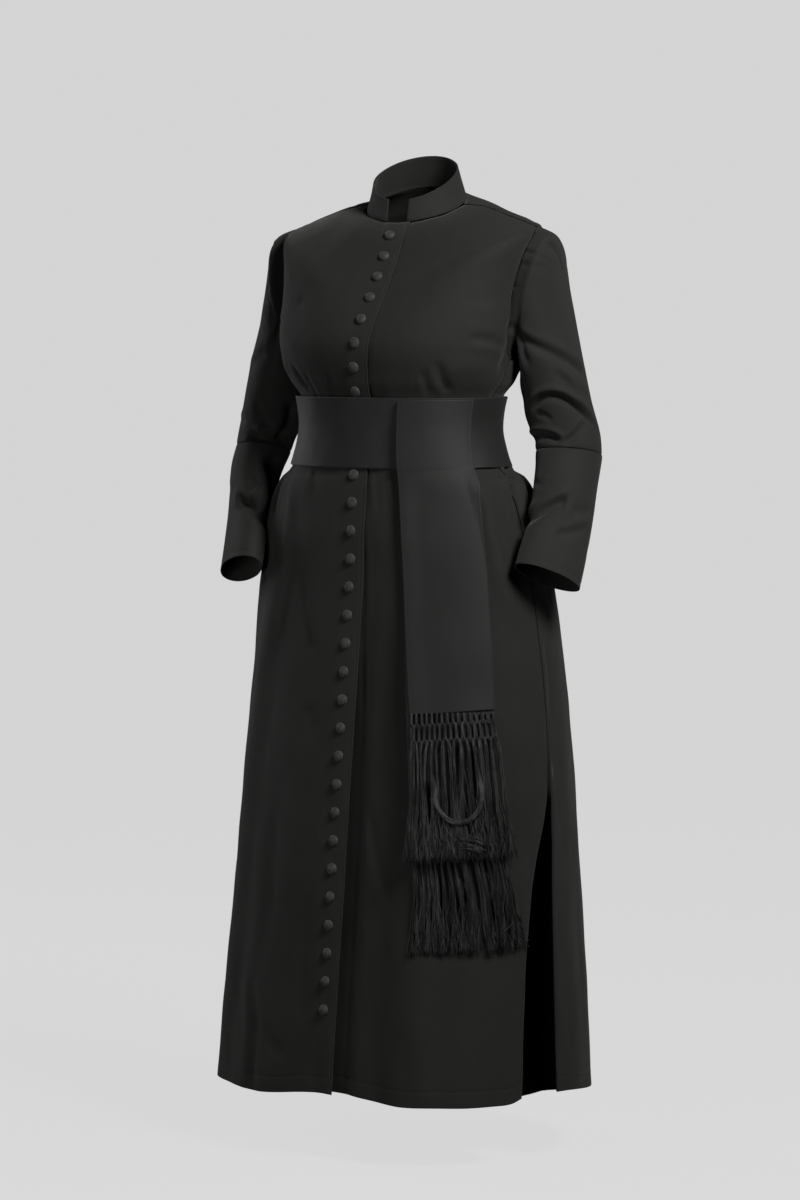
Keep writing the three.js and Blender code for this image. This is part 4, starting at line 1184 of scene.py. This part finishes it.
def arm_piece(name, side, sections, extra):
    """A sleeve or cuff from its sections, each a ring of points at the same turns."""
    turns = arm_turns()
    places = even_rows(sections, ARM_STEP, ARM_RIM_ROWS)
    grid = through(np.array(sections), places)
    if side > 0:
        grid, turns = grid[:, ::-1], turns[::-1]
    height = grid[..., 2]
    turn = np.broadcast_to(turns, height.shape)
    turn = (turn + 180) % 360 - 180
    out = creased(name, turn, height, arm_radius)
    wrapped = np.where(turn < 0, turn + 360, turn - 360)
    out = out + creased(name, wrapped, height, arm_radius)
    shifted = turn if side > 0 else turn + OTHER_SLEEVE_TURN
    out = out + uneven(shifted, height, arm_radius) * fade_round(turn)
    from_top = running(grid, 0)
    out = out + extra(from_top, from_top[-1:] - from_top)
    grid = grid + grid_normals(grid, True) * out[..., None]
    return dressed(wall(name + "_cloth", grid, CLOTH, closed=True), WORSTED, "worsted", name)


def fade_round(turn):
    """Nothing at the arm's own seam, so that the waves meet themselves there."""
    return smooth(abs((turn - ARM_START + 180) % 360 - 180) / ARM_SEAM_FADE)


def sleeve_extra(from_top, from_foot):
    roll = HEAD_SWELL * bell(from_top - HEAD_SWELL_PLACE, HEAD_SWELL_REACH)
    return roll - HEAD_SINK * bell(from_top, HEAD_SINK_REACH) - seam_dip(from_foot)


def cuff_extra(from_top, from_foot):
    dip = seam_dip(from_top) + stitch_dip(from_top, CUFF_TOP_STITCH)
    return -dip - stitch_dip(from_foot, CUFF_HEM_STITCH)


def sleeve(side, name):
    turns = arm_turns()
    sections = [armhole_points(side, turns / 360, np.zeros(len(turns)))]
    sections += [arm_ring(section, side, turns) for section in SLEEVE]
    return arm_piece(name, side, sections, sleeve_extra)


def cuff(side, name):
    sections = [arm_ring(section, side, arm_turns()) for section in CUFF]
    sections[0] = sections[0] - np.array([0, 0, CUFF_SEAM_GAP])
    return arm_piece(name, side, sections, cuff_extra)


for side, word in ((1, "left"), (-1, "right")):
    sleeve(side, "sleeve_" + word)
    cuff(side, "cuff_" + word)

# ------------------------------------------------------------------ cincture
BAND_COLUMNS = 240
BAND_ROW_STEP = 3.4
BAND_RIM_STEP = 0.03                # in places of LEVELS
BAND_WAVES = 0.6                    # the coat's waves, lower, longer round and closer down
BAND_WAVES_ROUND = 0.9
BAND_WAVES_DOWN = 2.2
BAND_WAVES_FADE = 20


def band():
    first, last = places(LEVEL, "above band"), places(LEVEL, "under band")
    rows = np.linspace(first, last, int((BAND_TOP - BAND_BOTTOM) / BAND_ROW_STEP))
    rows = np.concatenate([rows[:1], rows[:1] + BAND_RIM_STEP, rows[1:-1],
                           rows[-1:] - BAND_RIM_STEP, rows[-1:]])
    angle = np.linspace(-180, 180, BAND_COLUMNS, endpoint=False)
    place, angle = np.meshgrid(rows, angle, indexing="ij")
    height = outside(place, angle)[..., 2]
    waves = uneven(angle * BAND_WAVES_ROUND, height * BAND_WAVES_DOWN, coat_radius)
    waves = BAND_WAVES * waves * smooth((180 - abs(angle)) / BAND_WAVES_FADE)
    grid = offset(place, angle, BAND_CLEAR + BAND_CLOTH + waves)
    piece = wall("cincture_band_cloth", grid, BAND_CLOTH, closed=True)
    return dressed(piece, FAILLE, "faille", "cincture_band")


BAND_PIECE = band()

OVER_BAND = BAND_CLEAR + BAND_CLOTH + TAIL_CLEAR
OVER_TAIL = TAIL_CLOTH + TAIL_GAP
STRIP_COLUMNS = ("name", "height", "from", "to", "out")
TAIL_BACK = (
    ("top", -294, 29, 68, OVER_BAND),
    ("band foot", -394, 30, 66, OVER_BAND),
    ("hip", -440, 31, 65, TAIL_HANG),
    ("end", -897, 35, 64, TAIL_HANG),
)
TAIL_FRONT = (
    ("top", -292, 29, 69, OVER_BAND + OVER_TAIL),
    ("band foot", -394, 30, 67, OVER_BAND + OVER_TAIL),
    ("hip", -440, 31, 66, TAIL_HANG + OVER_TAIL),
    ("end", -746, 35, 65, TAIL_HANG + OVER_TAIL),
)
FRINGE_BACK = (
    ("top", -897.5, 35, 64, TAIL_HANG),
    ("middle", -1000, 36, 69, TAIL_HANG),
    ("end", -1095, 35, 72.5, TAIL_HANG),
)
FRINGE_FRONT = (
    ("top", -746.5, 35, 65, TAIL_HANG + OVER_TAIL),
    ("tail end", -885, 35, 67, TAIL_HANG + 9),
    ("end", -961, 34, 70, TAIL_HANG + 12),
)
TAIL_STEP = 4.0
TAIL_TILT = 9                       # the tails' ends are this much higher at their back edge
TAIL_TILT_TOP = -700
TAIL_TILT_SPAN = 60
TAIL_ACROSS = 34
TAIL_RIM_STEP = 1.2
TAIL_RIM = (0, 0.012, 0.028)        # shares of the width near each edge
TAIL_ANGLES = (30.0, 66.0)          # as the waves are counted
TAIL_WAVES = 0.9                    # the coat's waves, lower and longer
TAIL_WAVES_LONGER = 0.8
TAIL_HEM = 0.35                     # the dip along each edge's hem, by share of the width
TAIL_HEM_PLACE = 0.028
TAIL_HEM_REACH = 0.01
EDGE_STANDS_OFF = 4.5               # the tails' front edges, below the band
EDGE_STANDS_SHARE = 0.3
EDGE_STANDS_SPAN = 60
EDGE_LIES_FROM = -1100
EDGE_LIES_SPAN = 200
TAUT_HEIGHTS = np.linspace(BAND_TOP, -640, 90)
TAUT_ANGLE = 50
TAUT_SHARE = 0.5


def taut_slack():
    """How far the coat lies behind a line pulled straight over the waist's hollow, by height."""
    spots = outside(place_at(TAUT_ANGLE, TAUT_HEIGHTS), TAUT_ANGLE)
    reach = np.hypot(spots[:, 0], spots[:, 1])
    above, at, below = np.ix_(TAUT_HEIGHTS, TAUT_HEIGHTS, TAUT_HEIGHTS)
    share = clamp01((above - at) / np.maximum(above - below, 1e-6))
    line = lerp(reach[:, None, None], reach[None, None, :], share)
    line = np.where((above >= at) & (below <= at), line, 0)
    return TAUT_SHARE * (line.max((0, 2)) - reach)


TAUT_SLACK = taut_slack()


def strip_at(rows, height, share, extra):
    """Points over the coat, at heights and shares of the way across a strip's rows."""
    table = named(STRIP_COLUMNS, rows)
    read = {column: np.interp(-height, -table["height"], table[column])
            for column in STRIP_COLUMNS[2:]}
    angle = lerp(read["from"], read["to"], share)
    stands = EDGE_STANDS_OFF * smooth(1 - share / EDGE_STANDS_SHARE)
    stands = stands * smooth((BAND_BOTTOM - height) / EDGE_STANDS_SPAN)
    stands = stands * smooth((height - EDGE_LIES_FROM) / EDGE_LIES_SPAN)
    bridge = np.interp(-height, -TAUT_HEIGHTS, TAUT_SLACK)
    return offset(place_at(angle, height), angle, read["out"] + stands + bridge + extra)


def tail(name, rows):
    top, end = rows[0][1], rows[-1][1]
    heights = np.linspace(top, end, int((top - end) / TAIL_STEP))
    heights = np.concatenate([[top, top - TAIL_RIM_STEP], heights[1:-1], [end + TAIL_RIM_STEP, end]])
    share = np.linspace(0, 1, TAIL_ACROSS)
    share = np.concatenate([TAIL_RIM, share[1:-1], 1 - np.array(TAIL_RIM[::-1])])
    height, share = np.meshgrid(heights, share, indexing="ij")
    angle = lerp(*TAIL_ANGLES, share)
    waves = uneven(angle * TAIL_WAVES_LONGER, height * TAIL_WAVES_LONGER, coat_radius)
    height = height + TAIL_TILT * (share - 0.5) * smooth((TAIL_TILT_TOP - height) / TAIL_TILT_SPAN)
    hem = TAIL_HEM * bell(np.minimum(share, 1 - share) - TAIL_HEM_PLACE, TAIL_HEM_REACH)
    grid = strip_at(rows, height, share, TAIL_CLOTH + TAIL_WAVES * waves - hem)
    return dressed(wall(name + "_cloth", grid, TAIL_CLOTH), FAILLE, "faille", name)


TAILS = {"tail_back": tail("tail_back", TAIL_BACK), "tail_front": tail("tail_front", TAIL_FRONT)}

# ------------------------------------------------------------------ fringes
BARS = 16                           # bundles of thread that leave the tail's end
STRANDS = 16                        # in a bundle
STRAND_RADIUS = 0.5
BAR_WIDTH = 2.7
CORD_WIDTH = 4.2
CORD_DEEP = 6.2
FIRST_CROSS = 15                    # how far down the bundles cross, and cross again
SECOND_CROSS = 38.5
CROSS_REACH = 3.4
CROSS_BULGE = 3.2
CROSS_OVER = 1.2
CROSS_UNDER = 1.0
HANG_SPAN = 16                      # below the second crossing the cords hang freely
LOOSE_FROM = 88                     # how far down the cords start to open
LOOSE_WIDTH = 1.5                   # in pitches, and the depth as a share of CORD_DEEP
LOOSE_DEEP = 0.8
NET_OUT = 1.6                       # the netting stands off what it lies on
NET_STEPS = (-2, 46, 17)            # from, to and count of a strand's points in the netting
HANG_STEPS = 24
FRAY_REACH = 28
FRAY_ACROSS = 2.1
FRAY_OUT = 1.1
LEAN = 2.1                          # of a cord, in mm, and its sway
SWAY = 1.1
SWAY_LENGTH = 38
FULLNESS = (0.55, 1.2)
FORWARD = (0, 2.4)
WAVE_SIZE = 0.75                    # of a strand in its cord, side to side
WAVE_LENGTH = (24, 75)
BOW_SIZE = 0.6                      # and out and in
BOW_LENGTH = (5, 11)
LONGEST = 1.012                     # of the fringe's length, and how far the cut is uneven
CUT_SPREAD = 0.016
TAPER = 0.4
TAPER_REACH = 10
STRAYS = 30
STRAY_OUT = 5.5
TUFT = 22
TUFT_OUT = 7
STRIP_OVER = 0.15                   # a strip is read this share past its edges
STRIP_PAST = 1.04                   # and to this share of its length

LOOP_OUT = 9
LOOP_WIDTH = 7.0
LOOP_STRANDS = 6
LOOP_STRAND = 0.85
LOOP_STEPS = 70
# shares across the fringe and millimetres down it
LOOP_PATH = ((0.34, 60), (0.31, 86), (0.30, 112), (0.34, 137), (0.44, 153), (0.54, 158),
             (0.64, 151), (0.72, 133), (0.75, 109), (0.745, 81), (0.73, 50))


class StripMap:
    """A strip's points, read quickly at shares across, millimetres down and millimetres out."""

    def __init__(self, rows, lines=60, columns=24):
        self.top, self.end = rows[0][1], rows[-1][1]
        height, share = np.meshgrid(np.linspace(self.top, self.end, lines),
                                    np.linspace(-STRIP_OVER, 1 + STRIP_OVER, columns), indexing="ij")
        self.face = strip_at(rows, height, share, 0)
        self.normal = unit(strip_at(rows, height, share, 1) - self.face)
        self.lines, self.columns = lines, columns
        first, last = strip_at(rows, np.full(2, float(self.top)), np.array([0.0, 1.0]), 0)
        self.width = float(np.linalg.norm(last - first))

    def __call__(self, share, down, out):
        r = np.clip(down / (self.top - self.end), 0, STRIP_PAST) * (self.lines - 1)
        c = (share + STRIP_OVER) / (1 + 2 * STRIP_OVER) * (self.columns - 1)
        r0 = np.clip(np.floor(r).astype(int), 0, self.lines - 2)
        c0 = np.clip(np.floor(c).astype(int), 0, self.columns - 2)
        fr, fc = (r - r0)[..., None], (c - c0)[..., None]

        def read(table):
            return lerp(lerp(table[r0, c0], table[r0, c0 + 1], fc),
                        lerp(table[r0 + 1, c0], table[r0 + 1, c0 + 1], fc), fr)
        return read(self.face) + read(self.normal) * np.asarray(out)[..., None]


def crossed(down, level):
    """From nothing above a row of crossings to one below it."""
    return smooth((down - level + CROSS_REACH) / (2 * CROSS_REACH))


def strand_places(rng, width, length, down):
    """Each strand of a netted fringe: bars that split and cross twice, then loose cords."""
    pitch = width / BARS
    hung = smooth((down - SECOND_CROSS) / HANG_SPAN)
    loose = smooth((down - LOOSE_FROM) / (length - LOOSE_FROM))
    end = smooth((down - length + FRAY_REACH) / FRAY_REACH)
    one, two = crossed(down, FIRST_CROSS), crossed(down, SECOND_CROSS)
    at_cross = sum(bell(down - level, CROSS_BULGE) for level in (FIRST_CROSS, SECOND_CROSS))
    # each cord's own lean, sway, fullness and depth, so that some touch and others leave a gap
    lean, sway = rng.normal(0, LEAN, BARS + 1), rng.normal(0, SWAY, BARS + 1)
    start = rng.uniform(0, 6, BARS + 1)
    full, forward = rng.uniform(*FULLNESS, BARS + 1), rng.uniform(*FORWARD, BARS + 1)
    for bar in range(BARS):
        for strand in range(STRANDS):
            right_first, right_second = strand % 2, strand // 2 % 2
            cord = int(np.clip(bar + right_first + right_second - 1, 0, BARS))
            first = np.clip(bar + right_first - 0.5, 0, BARS - 1)
            second = np.clip(first + right_second - 0.5, 0, BARS - 1)
            middle = lerp(lerp(bar, first, one), second, two)
            turn, reach = rng.uniform(0, 2 * math.pi), math.sqrt(rng.uniform())
            aside, deep = reach * math.cos(turn) / 2, (1 + reach * math.sin(turn)) / 2
            wide = lerp(BAR_WIDTH, lerp(CORD_WIDTH * full[cord], LOOSE_WIDTH * pitch, loose), hung)
            size = (0.25 + 0.9 * loose) * hung
            waves = sum(rng.normal(0, WAVE_SIZE)
                        * np.sin(down * 2 * math.pi / rng.uniform(*WAVE_LENGTH) + rng.uniform(0, 6))
                        for _ in range(2))
            across = (middle + 0.5) * pitch + aside * wide + waves * size
            across = across + rng.normal(0, FRAY_ACROSS) * end
            swung = sway[cord] * np.sin(down / SWAY_LENGTH + start[cord])
            across = across + (lean[cord] + swung) * hung
            over = (CROSS_OVER if right_first else -CROSS_UNDER) * at_cross
            thick = lerp(CORD_DEEP * full[cord], CORD_DEEP * LOOSE_DEEP, loose)
            thick = lerp(BAR_WIDTH, thick, hung)
            out = NET_OUT * (1 - 0.6 * hung) + deep * thick + over
            out = out + forward[cord] * hung * (1 - 0.5 * loose)
            bow = rng.normal(0, BOW_SIZE) * size
            bow = bow * np.sin(down / rng.uniform(*BOW_LENGTH) + rng.uniform(0, 6))
            out = np.maximum(out + bow + rng.normal(0, FRAY_OUT) * end, STRAND_RADIUS)
            cut = LONGEST - abs(rng.normal(0, CUT_SPREAD))
            yield across, lerp(down, down * cut, hung), out


def stray_places(rng, width, length, steps):
    """Threads that have worked loose and wander over the cords, most of them near the end."""
    share = np.linspace(0, 1, steps)
    for _ in range(STRAYS):
        top = length * rng.uniform(0.35, 0.8)
        across = width * rng.uniform(0.08, 0.95) + rng.normal(0, 9) * share ** 2
        across = across + 2.5 * np.sin(share * rng.uniform(3, 9))
        down = top + (length * rng.uniform(0.9, 1.01) - top) * share
        yield across, down, STRAY_OUT + rng.uniform(0, 2.5) * np.sin(share * math.pi)


def tuft_places(rng, width, steps):
    """A tuft of frayed ends that lies across the front of the upper fringe."""
    share = np.linspace(0, 1, steps)
    for _ in range(TUFT):
        across = width * rng.uniform(0.5, 0.6) + rng.uniform(8, 26) * share
        down = rng.uniform(176, 196) + rng.normal(8, 5) * share ** 2
        down = down + rng.normal(0, 2) * np.sin(share * 5)
        yield across, down, TUFT_OUT + rng.uniform(0, 2.5) * np.sin(share * math.pi)


def fringe(name, rows, seed, tufted):
    rng = np.random.default_rng(seed)
    strip = StripMap(rows)
    length, width = rows[0][1] - rows[-1][1], strip.width
    down = np.linspace(NET_STEPS[1], length, HANG_STEPS)[1:]
    down = np.concatenate([np.linspace(*NET_STEPS), down])
    runs = list(strand_places(rng, width, length, down))
    runs += stray_places(rng, width, length, len(down))
    if tufted:
        runs += tuft_places(rng, width, len(down))
    lines, sizes = [], []
    for across, at, out in runs:
        tilt = TAIL_TILT * (across / width - 0.5)
        lines.append(strip(across / width, at - tilt, out))
        taper = 1 - TAPER * smooth((at - length + TAPER_REACH) / TAPER_REACH)
        sizes.append(STRAND_RADIUS * taper * rng.uniform(0.8, 1.2))
    strands = tubes(name + "_strands", lines, sizes, sides=4)
    return dressed(strands, FRINGE_THREAD, "fringe_thread", name), strip


def fringe_loop(strip):
    """A flat loop of cord that hangs in front of the knotted fringe and joins it at both ends."""
    path = np.array(LOOP_PATH, float)
    fine = through(path, np.linspace(0, len(path) - 1, LOOP_STEPS))
    share = np.linspace(0, 1, len(fine))
    high = LOOP_OUT * smooth((share - 0.08) / 0.24) * smooth((0.92 - share) / 0.2)
    line = strip(fine[:, 0], fine[:, 1], high)
    out = unit(strip(fine[:, 0], fine[:, 1], high + 1) - line)
    onward = unit(np.gradient(line, axis=0))
    aside = unit(np.cross(onward, out))
    lines = []
    for k in range(LOOP_STRANDS):
        share = k / (LOOP_STRANDS - 1) - 0.5
        raised = 0.5 * math.cos(share * 3) + 0.35 * np.sin(np.arange(len(line)) * 0.5 + k)
        spread = aside * share * (LOOP_WIDTH - 2 * LOOP_STRAND)
        lines.append(line + spread + out * raised[:, None])
    cord = tubes("fringe_front_loop", lines, LOOP_STRAND, sides=6)
    return dressed(cord, LOOP_THREAD, "fringe_thread")


BACK_FRINGE, _ = fringe("fringe_back", FRINGE_BACK, seed=11, tufted=False)
FRONT_FRINGE, FRONT_STRIP = fringe("fringe_front", FRINGE_FRONT, seed=7, tufted=True)
LOOP = fringe_loop(FRONT_STRIP)

# ------------------------------------------------------------------ buttons
BUTTON_RADIUS = 8
BUTTON_HEIGHT = 5
BUTTON_CLEAR = 0.65
BUTTON_FLAT = 0.55
RING_RADIUS = 6.2
RING_THICK = 0.42
RIM_INSET = 0.9                     # the back, from its rim in to its shank
BACK_INSET = 0.5
BACK_SINK = 0.4
SHANK_INSET = 3.4
SHANK_DEEP = 0.5
SMOOTH_ANGLE = math.radians(50)
BUTTON_TILT = 0.05
LINE_STEPS = 200
UPPER_BUTTONS = (8, -53, -281.5)    # how many, and the heights of the first and the last
LOWER_BUTTONS = (20, -404, -1186)


def button_heights(count, first, last):
    heights = np.linspace(first, last, LINE_STEPS + 1)
    line = outside(place_at(0, heights), 0)
    run = running(line, 0)
    return np.interp(np.linspace(0, run[-1], count), run, line[:, 2])


def front_line(across, height):
    """A point and the way out on the right front, at a distance past the button line and a height."""
    grid = PANELS["front_right"][1]
    normal = grid_normals(grid)
    edge_run = running(grid, 1)
    from_edge = edge_run[:, -1:] - edge_run
    wanted = BUTTON_LINE_TO_EDGE - across
    columns = np.arange(grid.shape[1])[::-1]
    column = np.array([np.interp(wanted, row[::-1], columns) for row in from_edge])
    low = np.floor(column).astype(int).clip(0, grid.shape[1] - 2)
    share = (column - low)[:, None]
    rows = np.arange(len(grid))
    line = lerp(grid[rows, low], grid[rows, low + 1], share)
    out = unit(lerp(normal[rows, low], normal[rows, low + 1], share))
    order = slice(None, None, -1)
    point = np.array([np.interp(height, line[order, 2], line[order, i]) for i in range(3)])
    way = unit(np.array([np.interp(height, line[order, 2], out[order, i]) for i in range(3)]))
    return point, way


def button_master():
    """A covered button: a domed crown, a rounded rim and a flat back with its shank."""
    bpy.ops.object.select_all(action="DESELECT")
    bpy.ops.mesh.primitive_uv_sphere_add(segments=40, ring_count=22, radius=BUTTON_RADIUS * MM)
    piece = bpy.context.object
    bpy.ops.object.mode_set(mode="EDIT")
    bpy.ops.mesh.select_all(action="SELECT")
    bpy.ops.transform.resize(value=(1, 1, BUTTON_FLAT))
    back = BUTTON_HEIGHT - BUTTON_RADIUS * BUTTON_FLAT
    bpy.ops.transform.translate(value=(0, 0, back * MM))
    bpy.ops.mesh.bisect(plane_co=(0, 0, 0), plane_no=(0, 0, 1), clear_inner=True, use_fill=True)
    bpy.ops.mesh.inset(thickness=RIM_INSET * MM, depth=0)
    bpy.ops.mesh.inset(thickness=BACK_INSET * MM, depth=-BACK_SINK * MM)
    bpy.ops.mesh.inset(thickness=SHANK_INSET * MM, depth=0)
    bpy.ops.mesh.extrude_region_move(TRANSFORM_OT_translate={"value": (0, 0, -SHANK_DEEP * MM)})
    ring = back + BUTTON_RADIUS * BUTTON_FLAT * math.sqrt(1 - (RING_RADIUS / BUTTON_RADIUS) ** 2)
    bpy.ops.mesh.primitive_torus_add(major_radius=RING_RADIUS * MM, minor_radius=RING_THICK * MM,
                                     major_segments=40, minor_segments=8, location=(0, 0, ring * MM))
    bpy.ops.object.mode_set(mode="OBJECT")
    bpy.ops.object.shade_smooth_by_angle(angle=SMOOTH_ANGLE)
    return piece


def buttons():
    master = button_master()
    heights = [h for row in (UPPER_BUTTONS, LOWER_BUTTONS) for h in button_heights(*row)]
    made = []
    for i, height in enumerate(heights):
        point, way = front_line(0, height)
        name = f"button_{i + 1:02d}"
        mesh = master.data.copy()
        tilt = BUTTON_TILT * Vector((math.sin(i * 2.4), 0, math.cos(i * 1.7)))
        turn = Vector((0, 0, 1)).rotation_difference(Vector(way) + tilt).to_matrix().to_4x4()
        mesh.transform(Matrix.Translation(Vector((point + way * BUTTON_CLEAR) * MM)) @ turn)
        piece = bpy.data.objects.new(name + "_covered", mesh)
        bpy.context.collection.objects.link(piece)
        made.append(dressed(piece, BUTTON_COVER, "button_cloth", name))
    bpy.data.objects.remove(master, do_unlink=True)
    return made, heights


BUTTONS, BUTTON_HEIGHTS = buttons()

# ------------------------------------------------------------------ stitching
HOLE_START = 2.5                    # a buttonhole runs from past its button to its far end
HOLE_END = -11.5
HOLE_HALF_WIDTH = 1.15
HOLE_STEPS = 26
HOLE_THREAD = 0.5
HOLE_LIFT = 0.15
HOLE_SQUARE = 0.35                  # below one, the slit's ends are squarer than a circle's


def buttonholes():
    """Worked buttonholes: a ridge of close stitches round each slit."""
    lines = []
    for height in BUTTON_HEIGHTS:
        middle, way = front_line((HOLE_START + HOLE_END) / 2, height)
        start, _ = front_line(HOLE_START, height)
        end, _ = front_line(HOLE_END, height)
        along = (end - start) / 2
        aside = np.cross(way, unit(along)) * HOLE_HALF_WIDTH
        a = np.linspace(0, 2 * math.pi, HOLE_STEPS)
        square = np.sign(np.cos(a)) * abs(np.cos(a)) ** HOLE_SQUARE
        bow = ((start + end) / 2 - middle) @ way
        lift = HOLE_LIFT - bow * (1 - square ** 2)
        round_slit = square[:, None] * along + np.sin(a)[:, None] * aside
        lines.append((start + end) / 2 + round_slit + way * lift[:, None])
    return dressed(tubes("buttonholes", lines, HOLE_THREAD, sides=6), SEWING_THREAD, "worsted")


def panel_stitching():
    """The front edge's and the hem's top-stitching, along the panels' own rows and columns."""
    lines = []
    hem = -1 - HEM_ROWS[::-1].index(HEM_DEPTH)
    for name, (_, grid) in PANELS.items():
        normal = grid_normals(grid)
        lines.append(stitch_lines(grid[hem], normal[hem]))
        if name == "front_right":
            edge = -1 - EDGE_COLUMNS[::-1].index(EDGE_STITCH)
            lines.append(stitch_lines(grid[:, edge], normal[:, edge]))
    stitches = tubes("coat_stitching", np.concatenate(lines), STITCH_RADIUS, sides=5)
    return dressed(stitches, SEWING_THREAD, "worsted")


STITCHING = [buttonholes(), panel_stitching()]

# ------------------------------------------------------------------ the room and its light
ROOM_RADIUS = 28
ROOM_HEIGHT = 18
ROOM_SIDES = 96
SWEEP = 6.0
SWEEP_STEPS = 12
MIDDLE_RING = 0.6
PALE = (0.68, 0.68, 0.68, 1)
PALE_GLOW = 0.972
DIM = (0.06, 0.06, 0.06, 1)         # what the lights add to the room
AIR = (0.82, 0.82, 0.8, 1)
AIR_STRENGTH = 0.01


def room():
    """A round pale floor that sweeps up into the wall all round."""
    profile = [(MIDDLE_RING, 0), (ROOM_RADIUS - SWEEP, 0)]
    for k in range(1, SWEEP_STEPS + 1):
        a = k / SWEEP_STEPS * math.pi / 2
        profile.append((ROOM_RADIUS - SWEEP + SWEEP * math.sin(a), SWEEP * (1 - math.cos(a))))
    profile.append((ROOM_RADIUS, ROOM_HEIGHT))
    points, faces = [(0, 0, FLOOR)], []
    for radius, up in profile:
        for k in range(ROOM_SIDES):
            a = k / ROOM_SIDES * 2 * math.pi
            points.append((radius * math.cos(a), radius * math.sin(a), FLOOR + up))
    for k in range(ROOM_SIDES):
        after = (k + 1) % ROOM_SIDES
        faces.append((0, 1 + k, 1 + after))
        for ring in range(len(profile) - 1):
            low, high = 1 + ring * ROOM_SIDES, 1 + (ring + 1) * ROOM_SIDES
            faces.append((low + k, high + k, high + after, low + after))
    mesh = bpy.data.meshes.new("room")
    mesh.from_pydata(points, [], faces)
    mesh.polygons.foreach_set("use_smooth", np.full(len(faces), True))
    piece = bpy.data.objects.new("room", mesh)
    bpy.context.collection.objects.link(piece)
    made = bpy.data.materials.new("pale_room")
    made.use_nodes = True
    nodes, links = made.node_tree.nodes, made.node_tree.links
    nodes.clear()
    diffuse = add(nodes, "ShaderNodeBsdfDiffuse", in_Color=DIM)
    glow = add(nodes, "ShaderNodeEmission", in_Color=PALE, in_Strength=PALE_GLOW)
    both = add(nodes, "ShaderNodeAddShader")
    output = add(nodes, "ShaderNodeOutputMaterial")
    links.new(diffuse.outputs[0], both.inputs[0])
    links.new(glow.outputs[0], both.inputs[1])
    links.new(both.outputs[0], output.inputs[0])
    piece.data.materials.append(made)
    piece.visible_diffuse = False
    piece.visible_glossy = False


def soft_light(name, azimuth, elevation, distance, size, power, aim):
    """A softbox aimed at a point. Azimuth is from the front to the wearer's left."""
    data = bpy.data.lights.new(name, "AREA")
    data.shape = "RECTANGLE"
    data.size, data.size_y = size
    data.energy = power
    light = bpy.data.objects.new(name, data)
    bpy.context.collection.objects.link(light)
    a, e = math.radians(azimuth), math.radians(elevation)
    way = Vector((math.sin(a) * math.cos(e), -math.cos(a) * math.cos(e), math.sin(e)))
    light.location = Vector(aim) + way * distance
    light.rotation_euler = (-way).to_track_quat("-Z", "Y").to_euler()


room()
MIDDLE = (0, -0.04, -0.6)
CHEST = (0, -0.1, -0.3)
SKIRT = (0, -0.1, -0.78)
soft_light("key", azimuth=62, elevation=35, distance=2.7, size=(0.84, 0.84), power=71, aim=CHEST)
soft_light("fill", azimuth=-14, elevation=4, distance=1.7, size=(0.8, 0.9), power=6.6, aim=SKIRT)
soft_light("side", azimuth=128, elevation=22, distance=3.2, size=(0.7, 1.8), power=6, aim=MIDDLE)
soft_light("edge", azimuth=-104, elevation=12, distance=3.2, size=(0.7, 1.8), power=19, aim=MIDDLE)

scene = bpy.context.scene
scene.world = scene.world or bpy.data.worlds.new("world")
scene.world.use_nodes = True
air = scene.world.node_tree.nodes["Background"]
air.inputs[0].default_value = AIR
air.inputs[1].default_value = AIR_STRENGTH
scene.view_settings.view_transform = "Standard"
scene.view_settings.look = "None"
